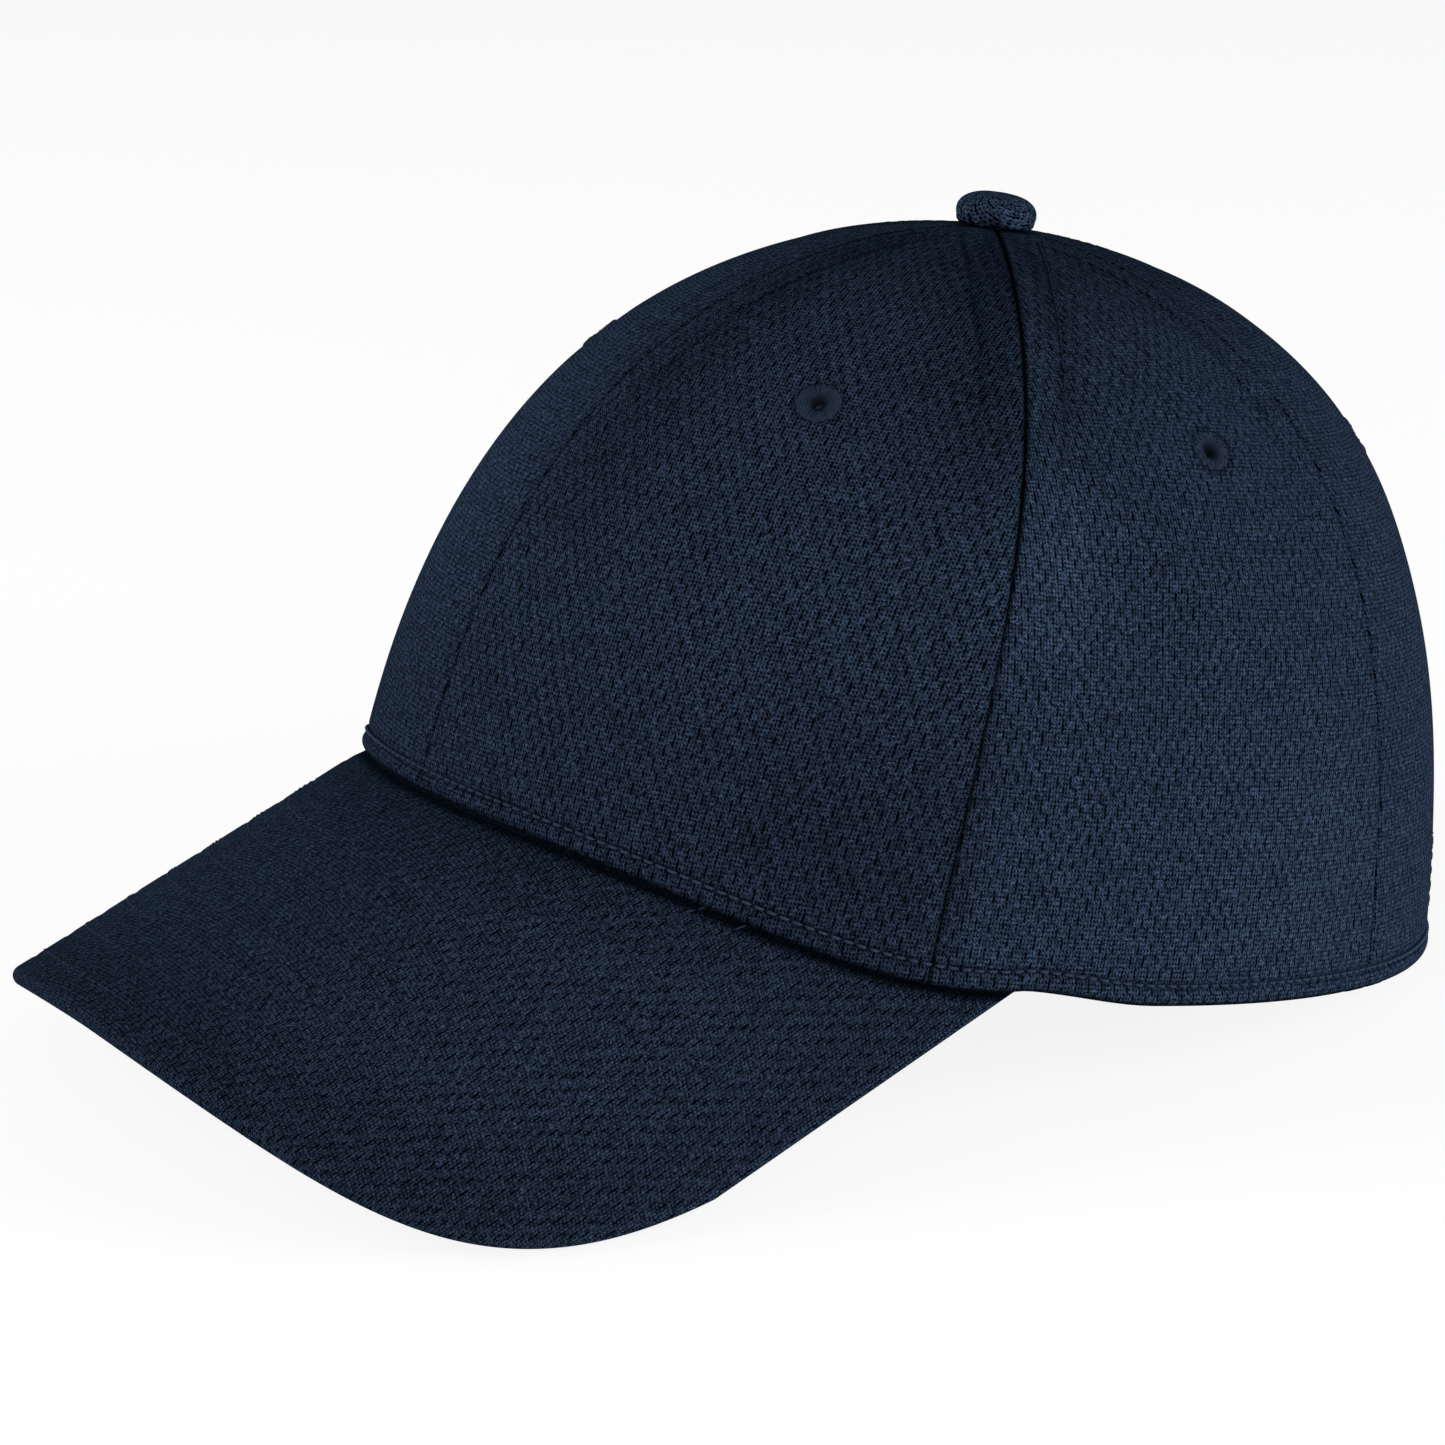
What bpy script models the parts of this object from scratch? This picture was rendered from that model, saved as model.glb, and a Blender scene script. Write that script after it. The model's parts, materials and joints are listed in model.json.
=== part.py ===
"""Six-panel baseball cap with a curved visor and a hook-and-loop strap across its back opening.

The cap is drawn in its own frame: +Z up through the crown from the plane of the head opening,
the visor towards -Y, the wearer's left at +X. It is then tipped back and set down the way it
rests on a table, on the two low edges of the visor and on the hem beside the back opening.
Angles round the crown are in degrees from the front, turning towards the wearer's left.
Depths are measured inwards from the outside of the fabric, square to it.
"""

import math

import bmesh
import bpy
from mathutils import Matrix, Vector

MM = 0.001

# Crown
HEM_HALF_WIDTH = 0.0888
HEM_HALF_LENGTH = 0.1005
CROWN_HEIGHT = 0.1164
APEX_SET_BACK = 0.0012
RISE_POWER = 2.55
TAPER_POWER = 2.03
TAPER_POWER_FRONT = -0.18
WAIST = 0.029
PANEL_ANGLE = 60.0
SEAM_BOW_LOW = -0.4
SEAM_BOW = 4.4
PANEL_ROWS = 17
SEAM_GAP = 0.3 * MM
TIP_RADIUS = 2.8 * MM

# Visor
VISOR_PITCH = math.radians(32.6)
VISOR_LENGTH = 0.0585
VISOR_CORNER = 70.5
VISOR_FRONT_HEIGHT = 0.0134
VISOR_ARCH_SQUARE = 4.95
VISOR_ARCH_FOURTH = 410.0
VISOR_SIDE_POWER = 2.15
VISOR_FRONT_POWER = 4.1
VISOR_SEAM_GAP = 0.5 * MM
VISOR_SEWN_DEPTH = 5.0 * MM
BOARD_INSET = 1.0 * MM

# Fabric layers, as outer and inner depth
PANEL = (0.0, 1.0 * MM)
BUCKRAM = (1.4 * MM, 2.2 * MM)
BACK_TAPE = (1.5 * MM, 2.1 * MM)
FRONT_TAPE = (2.7 * MM, 3.3 * MM)
SWEATBAND = (3.8 * MM, 5.0 * MM)
CARE_LABEL = (5.4 * MM, 5.8 * MM)
VISOR_TOP_COVER = (0.0, 0.6 * MM)
VISOR_BOARD = (0.9 * MM, 2.7 * MM)
VISOR_UNDER_COVER = (3.0 * MM, 3.6 * MM)

# Linings
BUCKRAM_TOP_RADIUS = 0.022
BUCKRAM_LOW = 2.0 * MM
BUCKRAM_SIDE_GAP = 3.0 * MM
TAPE_WIDTH = 0.012
TAPE_LOW = 1.5 * MM
TAPE_TOP_RADIUS = 0.016
SWEATBAND_LOW = 1.2 * MM
SWEATBAND_WIDTH = 0.032
SWEATBAND_END = 144.0
LABEL_ANGLE = 118.0
LABEL_WIDTH = 0.030
LABEL_LOW = 0.008
LABEL_HEIGHT = 0.018

# Back opening
ARCH_HALF_ANGLE = 26.0
ARCH_HEIGHT = 0.048
BINDING_WIDTH = 0.008
BINDING_LOW = 0.027

# Eyelets
EYELET_HEIGHT = 0.0885
EYELET_ANGLES = {"front": 33.0, "side": 96.0, "rear": 152.0}
EYELET_OUTER = 4.0 * MM
EYELET_BARREL = 2.0 * MM
EYELET_BORE = 1.3 * MM
EYELET_HOLE = 2.35 * MM

# Button
BUTTON_RADIUS = 7.0 * MM
BUTTON_HEIGHT = 5.7 * MM
BUTTON_LOW = 0.6 * MM
BUTTON_WAIST = 2.2 * MM
BUTTON_NECK = 4.6 * MM
BUTTON_FABRIC = 0.6 * MM
RIVET_RADIUS = 1.2 * MM
RIVET_HEAD = 3.4 * MM
RIVET_HEAD_THICK = 0.7 * MM
RIVET_SOCKET = 1.6 * MM
FIT_GAP = 0.3 * MM
BACKING_RADIUS = 6.5 * MM
BACKING = (-2.1 * MM, -2.7 * MM)

# Straps, with the wearer's left end of the opening at 180 - ARCH_HALF_ANGLE
STRAP_LOW = 0.004
STRAP_WIDTH = 0.020
STRAP_CORNER = 0.006
LOOP_STRAP = (2.6 * MM, 3.6 * MM)
LOOP_TAPE = (1.7 * MM, 2.3 * MM)
HOOK_TAPE = (0.8 * MM, 1.4 * MM)
HOOK_STRAP = (-0.5 * MM, 0.5 * MM)
STRAP_SEWN_ANGLE = 8.0
LOOP_HINGE_ANGLE = 156.7
LOOP_TIP_ANGLE = 197.0
HOOK_HINGE_ANGLE = 196.8
HOOK_TIP_ANGLE = 158.8
HOOK_JOG_ANGLE = 2.8
STRAP_HINGE_GAP = 2.4
STRAP_STEP = 2.0
STRAP_CLEARANCE = 0.6
STRAP_TIP_WIDTH = 0.006
TAB_SET_BACK = 0.6
TAPE_INSET = 0.0015

TILT_STEP = math.radians(0.05)

NAVY = (0.016, 0.027, 0.050)
LINING = (0.012, 0.018, 0.032)
THREAD = (0.020, 0.034, 0.062)
STEEL = (0.55, 0.56, 0.58)
BUCKRAM_WHITE = (0.70, 0.70, 0.68)
BOARD_WHITE = (0.80, 0.80, 0.78)
LABEL_WHITE = (0.75, 0.75, 0.73)


# ---------------------------------------------------------------- surfaces


def hem_radius(angle):
    """Distance from the crown's axis to the hem, in the direction of the angle."""
    turn = math.radians(angle)
    return 1.0 / math.hypot(math.sin(turn) / HEM_HALF_WIDTH, math.cos(turn) / HEM_HALF_LENGTH)


def outside(angle, rise):
    """A point on the crown. The rise runs from 0 at the hem plane to pi/2 at the apex."""
    turn = math.radians(angle)
    level = math.sin(rise) ** (2.0 / RISE_POWER)
    power = 2.0 / (TAPER_POWER + TAPER_POWER_FRONT * math.cos(turn))
    radius = hem_radius(angle) * math.cos(rise) ** power * (1.0 - WAIST * math.sin(math.pi * level))
    back = APEX_SET_BACK * level**1.5
    return Vector((radius * math.sin(turn), back - radius * math.cos(turn), CROWN_HEIGHT * level))


def crown(angle, rise, depth=0.0):
    """A point this deep below the outside of the crown."""
    low = max(rise - 0.002, 1e-5)
    high = min(rise + 0.002, math.pi / 2 - 1e-4)
    across = outside(angle + 0.2, rise) - outside(angle - 0.2, rise)
    up = outside(angle, high) - outside(angle, low)
    return outside(angle, rise) - across.cross(up).normalized() * depth


def rise_at_height(height):
    """The rise at which the crown reaches this height."""
    level = min(max(height / CROWN_HEIGHT, 0.0), 1.0)
    return math.asin(min(level ** (RISE_POWER / 2.0), 1.0))


def rise_at_radius(angle, radius):
    """The rise at which the crown has narrowed to this radius."""
    low, high = 0.5, math.pi / 2
    for _ in range(40):
        middle = (low + high) / 2
        point = outside(angle, middle)
        wide = math.hypot(point.x, point.y - APEX_SET_BACK) > radius
        low, high = (middle, high) if wide else (low, middle)
    return low


def bowed(angle, rise):
    """Shifts an angle with the bow of the two seams behind the front panels."""
    signed = (angle + 180.0) % 360.0 - 180.0
    near = 1.0 - min(abs(abs(signed) - PANEL_ANGLE) / PANEL_ANGLE, 1.0)
    shift = near * (SEAM_BOW_LOW + SEAM_BOW * math.sin(2.0 * rise))
    return angle + math.copysign(shift, signed)


VISOR_START = -outside(0.0, rise_at_height(VISOR_FRONT_HEIGHT)).y


def visor_height(x, y):
    """Height of the visor's top: a cylinder arched across X, sloping down towards -Y."""
    arch = VISOR_ARCH_SQUARE * x**2 + VISOR_ARCH_FOURTH * x**4
    return VISOR_FRONT_HEIGHT + math.tan(VISOR_PITCH) * (y + VISOR_START) - arch


def visor_down(x, y):
    """The direction into the visor, square to its top."""
    slope_x = -2.0 * VISOR_ARCH_SQUARE * x - 4.0 * VISOR_ARCH_FOURTH * x**3
    return Vector((slope_x, math.tan(VISOR_PITCH), -1.0)).normalized()


def on_visor(angle):
    """How much the hem follows the visor: 1 over the visor, fading to 0 behind its corners."""
    away = abs((angle + 180.0) % 360.0 - 180.0) - VISOR_CORNER
    return 1.0 - min(max(away / 10.0, 0.0), 1.0)


def hem_rise(angle, depth=0.0, lift=0.0):
    """The rise of the crown's lower edge: on the visor in front, on the hem plane elsewhere."""
    follow = on_visor(angle)
    low, high = 0.0, 0.9
    for _ in range(30):
        middle = (low + high) / 2
        point = crown(angle, middle, depth)
        floor = lift
        if follow > 0.0:
            floor += follow * max(visor_height(point.x, point.y) + VISOR_SEAM_GAP, 0.0)
        low, high = (low, middle) if point.z > floor else (middle, high)
    return low


def arch_rise(angle):
    """The rise of the back opening's edge above this angle."""
    share = (angle - 180.0) / ARCH_HALF_ANGLE
    return rise_at_height(ARCH_HEIGHT * math.sqrt(max(1.0 - share**2, 0.0)))


def spread(start, end, count):
    """Evenly spaced values from start to end, both included."""
    return [start + (end - start) * i / (count - 1) for i in range(count)]


def angle_of(length, angle):
    """The angle that spans a length along the hem near this angle."""
    return math.degrees(length / hem_radius(angle))


# ---------------------------------------------------------------- mesh helpers


def material(name, colour, roughness, metallic=0.0):
    made = bpy.data.materials.new(name)
    made.use_nodes = True
    shader = made.node_tree.nodes["Principled BSDF"]
    shader.inputs["Base Color"].default_value = (*colour, 1.0)
    shader.inputs["Roughness"].default_value = roughness
    shader.inputs["Metallic"].default_value = metallic
    return made


def add_object(name, shape, colour, roughness, metallic=0.0, origin=None):
    """One named part from a bmesh, with its own material."""
    bmesh.ops.recalc_face_normals(shape, faces=shape.faces)
    mesh = bpy.data.meshes.new(name)
    if origin is not None:
        bmesh.ops.translate(shape, verts=shape.verts, vec=-origin)
    shape.to_mesh(mesh)
    shape.free()
    mesh.shade_smooth()
    mesh.set_sharp_from_angle(angle=math.radians(40))
    mesh.materials.append(material(name, colour, roughness, metallic))
    obj = bpy.data.objects.new(name, mesh)
    if origin is not None:
        obj.location = origin
    bpy.context.scene.collection.objects.link(obj)
    return obj


def plate(place, us, vs, layer):
    """A closed curved plate between the two depths of a layer. place(u, v, depth) gives a point."""
    shape = bmesh.new()
    grids = []
    for depth in layer:
        grids.append([[shape.verts.new(place(u, v, depth)) for u in us] for v in vs])
    outer, inner = grids
    for j in range(len(vs) - 1):
        for i in range(len(us) - 1):
            for grid in grids:
                shape.faces.new((grid[j][i], grid[j][i + 1], grid[j + 1][i + 1], grid[j + 1][i]))
    last_u, last_v = len(us) - 1, len(vs) - 1
    edge = [(0, i) for i in range(last_u)]
    edge += [(j, last_u) for j in range(last_v)]
    edge += [(last_v, i) for i in range(last_u, 0, -1)]
    edge += [(j, 0) for j in range(last_v, 0, -1)]
    for (a, b), (c, d) in zip(edge, edge[1:] + edge[:1]):
        shape.faces.new((outer[a][b], outer[c][d], inner[c][d], inner[a][b]))
    return shape


def turned(profile, steps):
    """A solid of revolution about Z from a closed profile of (radius, height) points."""
    shape = bmesh.new()
    rings = []
    for radius, height in profile:
        if radius == 0.0:
            rings.append([shape.verts.new((0.0, 0.0, height))])
            continue
        turns = [2.0 * math.pi * k / steps for k in range(steps)]
        rings.append([shape.verts.new((radius * math.cos(t), radius * math.sin(t), height)) for t in turns])
    for a, b in zip(rings, rings[1:] + rings[:1]):
        for k in range(steps):
            corners = [a[k % len(a)], a[(k + 1) % len(a)], b[(k + 1) % len(b)], b[k % len(b)]]
            corners = list(dict.fromkeys(corners))
            if len(corners) > 2:
                shape.faces.new(corners)
    return shape


def cut(obj, cutter):
    """Takes a cutter's shape out of an object."""
    cutter.hide_render = True
    cutter.display_type = "WIRE"
    boolean = obj.modifiers.new("Cut", "BOOLEAN")
    boolean.operation = "DIFFERENCE"
    boolean.solver = "EXACT"
    boolean.object = cutter


# ---------------------------------------------------------------- crown


def in_panel(angle, middle, rise, gap):
    """Draws an angle in from the panel's two seams, by half a gap at each, whatever the radius."""
    radius = hem_radius(angle) * max(math.cos(rise), 0.02)
    share = 1.0 - gap / (radius * math.radians(PANEL_ANGLE))
    return bowed(middle + (angle - middle) * share, rise)


def panel_angles(first):
    """Columns of a panel that starts at this seam, closer where its lower edge bends."""
    last = first + PANEL_ANGLE
    for corner in (VISOR_CORNER, 360.0 - VISOR_CORNER):
        if first < corner < last:
            ends = sorted((first, last), key=lambda seam: abs(seam - corner))
            near = spread(ends[0], corner, 3)
            far = spread(corner, ends[1], 7)
            return sorted(set(near + far))
    if last == 180.0 or first == 180.0:
        foot = 180.0 - ARCH_HALF_ANGLE
        plain = spread(120.0, foot, 5)
        arched = [180.0 - ARCH_HALF_ANGLE * math.cos(math.radians(15.0 * k)) for k in range(1, 7)]
        columns = plain + arched
        return columns if last == 180.0 else [360.0 - angle for angle in reversed(columns)]
    return spread(first, last, 9)


def panel_low_rise(angle, depth):
    """The lower edge of a panel, which rises over the back opening."""
    if abs(angle - 180.0) < ARCH_HALF_ANGLE:
        return max(arch_rise(angle), hem_rise(angle, depth))
    return hem_rise(angle, depth)


def build_panel(name, first):
    middle = first + PANEL_ANGLE / 2

    def place(angle, share, depth):
        low = panel_low_rise(angle, depth)
        rise = low + (rise_at_radius(angle, TIP_RADIUS) - low) * share
        return crown(in_panel(angle, middle, rise, SEAM_GAP), rise, depth)

    shape = plate(place, panel_angles(first), spread(0.0, 1.0, PANEL_ROWS), PANEL)
    return add_object(name, shape, NAVY, 0.85)


def build_buckram(name, first):
    """Stiff open-weave backing that holds a front panel upright."""
    middle = first + PANEL_ANGLE / 2

    def place(angle, share, depth):
        low = hem_rise(angle, depth, BUCKRAM_LOW)
        rise = low + (rise_at_radius(angle, BUCKRAM_TOP_RADIUS) - low) * share
        return crown(in_panel(angle, middle, rise, BUCKRAM_SIDE_GAP), rise, depth)

    shape = plate(place, spread(first, first + PANEL_ANGLE, 9), spread(0.0, 1.0, 15), BUCKRAM)
    return add_object(name, shape, BUCKRAM_WHITE, 0.9)


def build_seam_tape(name, seam, layer):
    """Tape that covers the raw seam allowance inside the crown."""

    def place(side, share, depth):
        low = hem_rise(seam, depth, TAPE_LOW)
        if seam == 180.0:
            low = rise_at_height(ARCH_HEIGHT + BINDING_WIDTH + TAPE_LOW)
        rise = low + (rise_at_radius(seam, TAPE_TOP_RADIUS) - low) * share
        centre = outside(seam, rise)
        radius = math.hypot(centre.x, centre.y - APEX_SET_BACK)
        return crown(bowed(seam, rise) + side * math.degrees(TAPE_WIDTH / 2 / radius), rise, depth)

    shape = plate(place, (-1.0, 0.0, 1.0), spread(0.0, 1.0, PANEL_ROWS), layer)
    return add_object(name, shape, LINING, 0.8)


def build_sweatband():
    """The band inside the hem, open at the back where the strap crosses."""

    def place(angle, share, depth):
        low = hem_rise(angle, depth, SWEATBAND_LOW)
        foot = crown(angle, low, depth).z
        high = rise_at_height(foot + SWEATBAND_WIDTH)
        return crown(angle, low + (high - low) * share, depth)

    angles = spread(-SWEATBAND_END, SWEATBAND_END, 49)
    shape = plate(place, angles, spread(0.0, 1.0, 4), SWEATBAND)
    return add_object("sweatband", shape, LINING, 0.75)


def build_care_label():
    half = angle_of(LABEL_WIDTH / 2, LABEL_ANGLE)

    def place(angle, share, depth):
        return crown(angle, rise_at_height(LABEL_LOW + LABEL_HEIGHT * share), depth)

    angles = spread(LABEL_ANGLE - half, LABEL_ANGLE + half, 7)
    shape = plate(place, angles, spread(0.0, 1.0, 3), CARE_LABEL)
    return add_object("care_label", shape, LABEL_WHITE, 0.6)


def build_arch_binding():
    """Tape that finishes the edge of the back opening on the inside."""
    foot = math.degrees(math.asin(BINDING_LOW / ARCH_HEIGHT))

    def place(turn, share, depth):
        wide = math.radians(ARCH_HALF_ANGLE) * HEM_HALF_LENGTH + BINDING_WIDTH * share
        tall = ARCH_HEIGHT + BINDING_WIDTH * share
        start = math.asin(BINDING_LOW / tall)
        t = start + (math.pi - 2.0 * start) * (turn - foot) / (180.0 - 2.0 * foot)
        angle = 180.0 - math.degrees(wide / HEM_HALF_LENGTH) * math.cos(t)
        return crown(angle, rise_at_height(tall * math.sin(t)), depth)

    shape = plate(place, spread(foot, 180.0 - foot, 19), (0.02, 0.5, 1.0), BACK_TAPE)
    return add_object("arch_binding", shape, LINING, 0.8)


def eyelet_angle(place):
    """Where a panel's eyelet lies round the crown. The wearer's right mirrors the left."""
    row, side = place.split("_")
    return EYELET_ANGLES[row] if side == "left" else 360.0 - EYELET_ANGLES[row]


def build_eyelet(name, angle, wearers):
    """A stitched ring round a vent hole, through the panel and whatever backs it."""
    rise = rise_at_height(EYELET_HEIGHT)
    point = crown(angle, rise)
    outward = (point - crown(angle, rise, 1.0 * MM)).normalized()
    turn = outward.to_track_quat("Z", "Y").to_matrix().to_4x4()
    profile = [
        (EYELET_BORE, 0.9 * MM),
        (EYELET_BORE + 0.6 * MM, 1.3 * MM),
        (EYELET_OUTER - 0.5 * MM, 1.1 * MM),
        (EYELET_OUTER, 0.7 * MM),
        (EYELET_OUTER, 0.4 * MM),
        (EYELET_BARREL, 0.4 * MM),
        (EYELET_BARREL, -2.6 * MM),
        (EYELET_BORE, -2.6 * MM),
    ]
    ring = turned(profile, 14)
    bmesh.ops.transform(ring, matrix=Matrix.Translation(point) @ turn, verts=ring.verts)
    add_object(name, ring, THREAD, 0.6)
    drill = bmesh.new()
    bmesh.ops.create_cone(
        drill, cap_ends=True, segments=12, radius1=EYELET_HOLE, radius2=EYELET_HOLE, depth=0.010
    )
    bmesh.ops.transform(drill, matrix=Matrix.Translation(point) @ turn, verts=drill.verts)
    cutter = add_object("cut_" + name, drill, THREAD, 0.6)
    for layer in wearers:
        cut(layer, cutter)


def button_dome(shrink):
    """The button's outline from its widest ring to its top, drawn in by a distance."""
    rise = BUTTON_HEIGHT - BUTTON_WAIST
    turns = [math.radians(turn) for turn in spread(0.0, 90.0, 6)]
    outline = []
    for t in turns:
        radius = max(BUTTON_RADIUS * math.cos(t) - shrink, 0.0)
        outline.append((radius, BUTTON_LOW + BUTTON_WAIST + rise * math.sin(t) - shrink))
    outline[-1] = (0.0, outline[-1][1])
    return outline


def button_shapes():
    """The covered button, its rivet through the crown and the backing inside, about the apex."""
    seam = BUTTON_FABRIC
    under = [(BUTTON_NECK, BUTTON_LOW), (BUTTON_RADIUS - 0.8 * MM, BUTTON_LOW + 0.7 * MM)]
    hollow = [(BUTTON_RADIUS - 1.6 * MM, BUTTON_LOW + 1.3 * MM), (BUTTON_NECK, BUTTON_LOW + seam)]
    cover = turned(under + button_dome(0.0) + button_dome(seam)[::-1] + hollow, 24)
    base = BUTTON_LOW + 2.0 * MM
    ceiling = base + RIVET_SOCKET
    socket = [(0.0, ceiling), (RIVET_RADIUS + FIT_GAP, ceiling), (RIVET_RADIUS + FIT_GAP, base)]
    rim = [(BUTTON_NECK + seam, base)]
    shell = turned(socket + rim + button_dome(seam + FIT_GAP)[1:], 20)
    seat = BACKING[1] - FIT_GAP
    shank = [(RIVET_RADIUS, seat), (RIVET_RADIUS, ceiling - FIT_GAP), (0.0, ceiling - FIT_GAP)]
    head = [(0.0, seat - RIVET_HEAD_THICK), (RIVET_HEAD, seat - RIVET_HEAD_THICK), (RIVET_HEAD, seat)]
    rivet = turned(head + shank, 12)
    bore = RIVET_RADIUS + FIT_GAP
    ring = [(bore, BACKING[0]), (bore, BACKING[1])]
    ring += [(BACKING_RADIUS, BACKING[1]), (BACKING_RADIUS, BACKING[0])]
    return cover, shell, rivet, turned(ring, 20)


def build_button():
    apex = outside(0.0, math.pi / 2)
    cover, shell, rivet, backing = button_shapes()
    looks = (
        ("button_cover", cover, NAVY, 0.85, 0.0),
        ("button_shell", shell, STEEL, 0.4, 1.0),
        ("button_rivet", rivet, STEEL, 0.4, 1.0),
        ("button_backing", backing, STEEL, 0.4, 1.0),
    )
    for name, shape, colour, roughness, metallic in looks:
        bmesh.ops.translate(shape, verts=shape.verts, vec=apex)
        add_object(name, shape, colour, roughness, metallic)


# ---------------------------------------------------------------- visor


def sewn_edge(angle):
    """The visor's sewn edge, under the crown's layers and drawn out to nothing at the corners."""
    depth = VISOR_SEWN_DEPTH * (1.0 - abs(angle / VISOR_CORNER) ** 6)
    point = crown(angle, hem_rise(angle, depth), depth)
    return point.x, point.y


def visor_outline(x):
    """How far forward the visor reaches at this X."""
    corner = outside(VISOR_CORNER, 0.0)
    tip = -VISOR_START - VISOR_LENGTH
    share = max(1.0 - (abs(x) / corner.x) ** VISOR_SIDE_POWER, 0.0) ** (1.0 / VISOR_FRONT_POWER)
    return corner.y + (tip - corner.y) * share


def build_visor_layer(name, layer, inset, colour, roughness):
    def place(angle, share, depth):
        x, near = sewn_edge(angle)
        y = near + (visor_outline(x) + inset - near) * share
        return Vector((x, y, visor_height(x, y))) + visor_down(x, y) * depth

    reach = VISOR_CORNER * 0.985 - math.degrees(inset / HEM_HALF_WIDTH)
    columns = [reach * math.sin(math.radians(turn)) for turn in spread(-90.0, 90.0, 31)]
    shape = plate(place, columns, spread(0.0, 1.0, 6), layer)
    return add_object(name, shape, colour, roughness)


# ---------------------------------------------------------------- straps


def strap_columns(start, end, round_end, jog):
    """Angles along a strap, closer where it steps in depth and round a tip."""
    if jog:
        edge = 180.0 + strap_edge()
        return [start, *spread(edge - HOOK_JOG_ANGLE, edge, 3), *spread(edge + STRAP_STEP, end, 5)]
    count = max(3, round(abs(end - start) / STRAP_STEP) + 1)
    if not round_end:
        return spread(start, end, count)
    tip = math.copysign(angle_of(STRAP_CORNER, 180.0), end - start)
    return spread(start, end - tip, count) + [end - tip * share for share in (0.6, 0.25, 0.0)]


def strap_piece(start, end, layer, inset=0.0, round_end=False, jog=None):
    """A band of strap between two angles. jog(angle) adds to its depth."""

    def place(angle, share, depth):
        low, high = STRAP_LOW + inset, STRAP_LOW + STRAP_WIDTH - inset
        if round_end:
            short = math.radians(abs(end - angle)) * HEM_HALF_LENGTH
            past = max(STRAP_CORNER - short, 0.0)
            trim = STRAP_CORNER - math.sqrt(STRAP_CORNER**2 - past**2)
            trim = min(trim, (high - low - STRAP_TIP_WIDTH) / 2)
            low, high = low + trim, high - trim
        extra = jog(angle) if jog else 0.0
        return crown(angle, rise_at_height(low + (high - low) * share), depth + extra)

    return plate(place, strap_columns(start, end, round_end, jog), (0.0, 0.5, 1.0), layer)


def strap_edge():
    """Half the opening's angle at the level of the straps' upper edges, just clear of the panel."""
    share = (STRAP_LOW + STRAP_WIDTH) / ARCH_HEIGHT
    return ARCH_HALF_ANGLE * math.sqrt(1.0 - share**2) - STRAP_CLEARANCE


def hook_jog(angle):
    """The hook strap comes out from inside the panel to lie over the loop strap."""
    share = (angle - 180.0 - strap_edge() + HOOK_JOG_ANGLE) / HOOK_JOG_ANGLE
    return (LOOP_STRAP[0] - HOOK_STRAP[0]) * min(max(share, 0.0), 1.0)


def build_straps():
    """Two straps meet over the opening. Each has a sewn root and a tab that swings at a hinge."""
    left = 180.0 - ARCH_HALF_ANGLE - STRAP_SEWN_ANGLE
    right = 180.0 + ARCH_HALF_ANGLE + STRAP_SEWN_ANGLE
    margin = angle_of(TAPE_INSET, 180.0)
    middle = rise_at_height(STRAP_LOW + STRAP_WIDTH / 2)
    loop_axis = crown(LOOP_HINGE_ANGLE, middle, sum(LOOP_STRAP) / 2)
    hook_axis = crown(HOOK_HINGE_ANGLE, middle, sum(HOOK_STRAP) / 2)
    loop_start = LOOP_HINGE_ANGLE + TAB_SET_BACK
    hook_start = HOOK_HINGE_ANGLE - TAB_SET_BACK

    root = strap_piece(left, loop_start - STRAP_HINGE_GAP, LOOP_STRAP)
    add_object("loop_strap_root", root, NAVY, 0.8)
    tab = strap_piece(loop_start, LOOP_TIP_ANGLE, LOOP_STRAP, round_end=True)
    add_object("loop_strap", tab, NAVY, 0.8, origin=loop_axis)
    pile_end = LOOP_TIP_ANGLE - margin
    pile = strap_piece(loop_start + STRAP_STEP, pile_end, LOOP_TAPE, TAPE_INSET, round_end=True)
    add_object("loop_tape", pile, LINING, 0.95, origin=loop_axis)

    root = strap_piece(hook_start + STRAP_HINGE_GAP, right, HOOK_STRAP, jog=hook_jog)
    add_object("hook_strap_root", root, NAVY, 0.8)
    tab = strap_piece(hook_start, HOOK_TIP_ANGLE, HOOK_STRAP, round_end=True)
    add_object("hook_strap", tab, NAVY, 0.8, origin=hook_axis)
    pile_end = HOOK_TIP_ANGLE + margin
    pile = strap_piece(hook_start - STRAP_STEP, pile_end, HOOK_TAPE, TAPE_INSET, round_end=True)
    add_object("hook_tape", pile, LINING, 0.9, origin=hook_axis)


# ---------------------------------------------------------------- placing


def settle():
    """Tips the cap back until visor and hem touch the same level, and centres it over the origin."""
    bpy.context.view_layer.update()
    parts = [o for o in bpy.context.scene.objects if o.type == "MESH" and not o.hide_render]
    points = [o.matrix_world @ v.co for o in parts for v in o.data.vertices]
    tilt, front, back = 0.0, -1.0, 0.0
    while front < back:
        tilt += TILT_STEP
        heights = [(p.y, p.z * math.cos(tilt) - p.y * math.sin(tilt)) for p in points]
        front = min(z for y, z in heights if y < 0.0)
        back = min(z for y, z in heights if y > 0.0)
    turn = Matrix.Rotation(-tilt, 4, "X")
    placed = [turn @ p for p in points]
    lows = [min(p[i] for p in placed) for i in range(3)]
    highs = [max(p[i] for p in placed) for i in range(3)]
    shift = Vector((-(lows[0] + highs[0]) / 2, -(lows[1] + highs[1]) / 2, -lows[2]))
    rest = bpy.data.objects.new("rest_pose", None)
    bpy.context.scene.collection.objects.link(rest)
    rest.matrix_world = Matrix.Translation(shift) @ turn
    for obj in bpy.context.scene.objects:
        if obj.type == "MESH":
            obj.parent = rest


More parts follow.
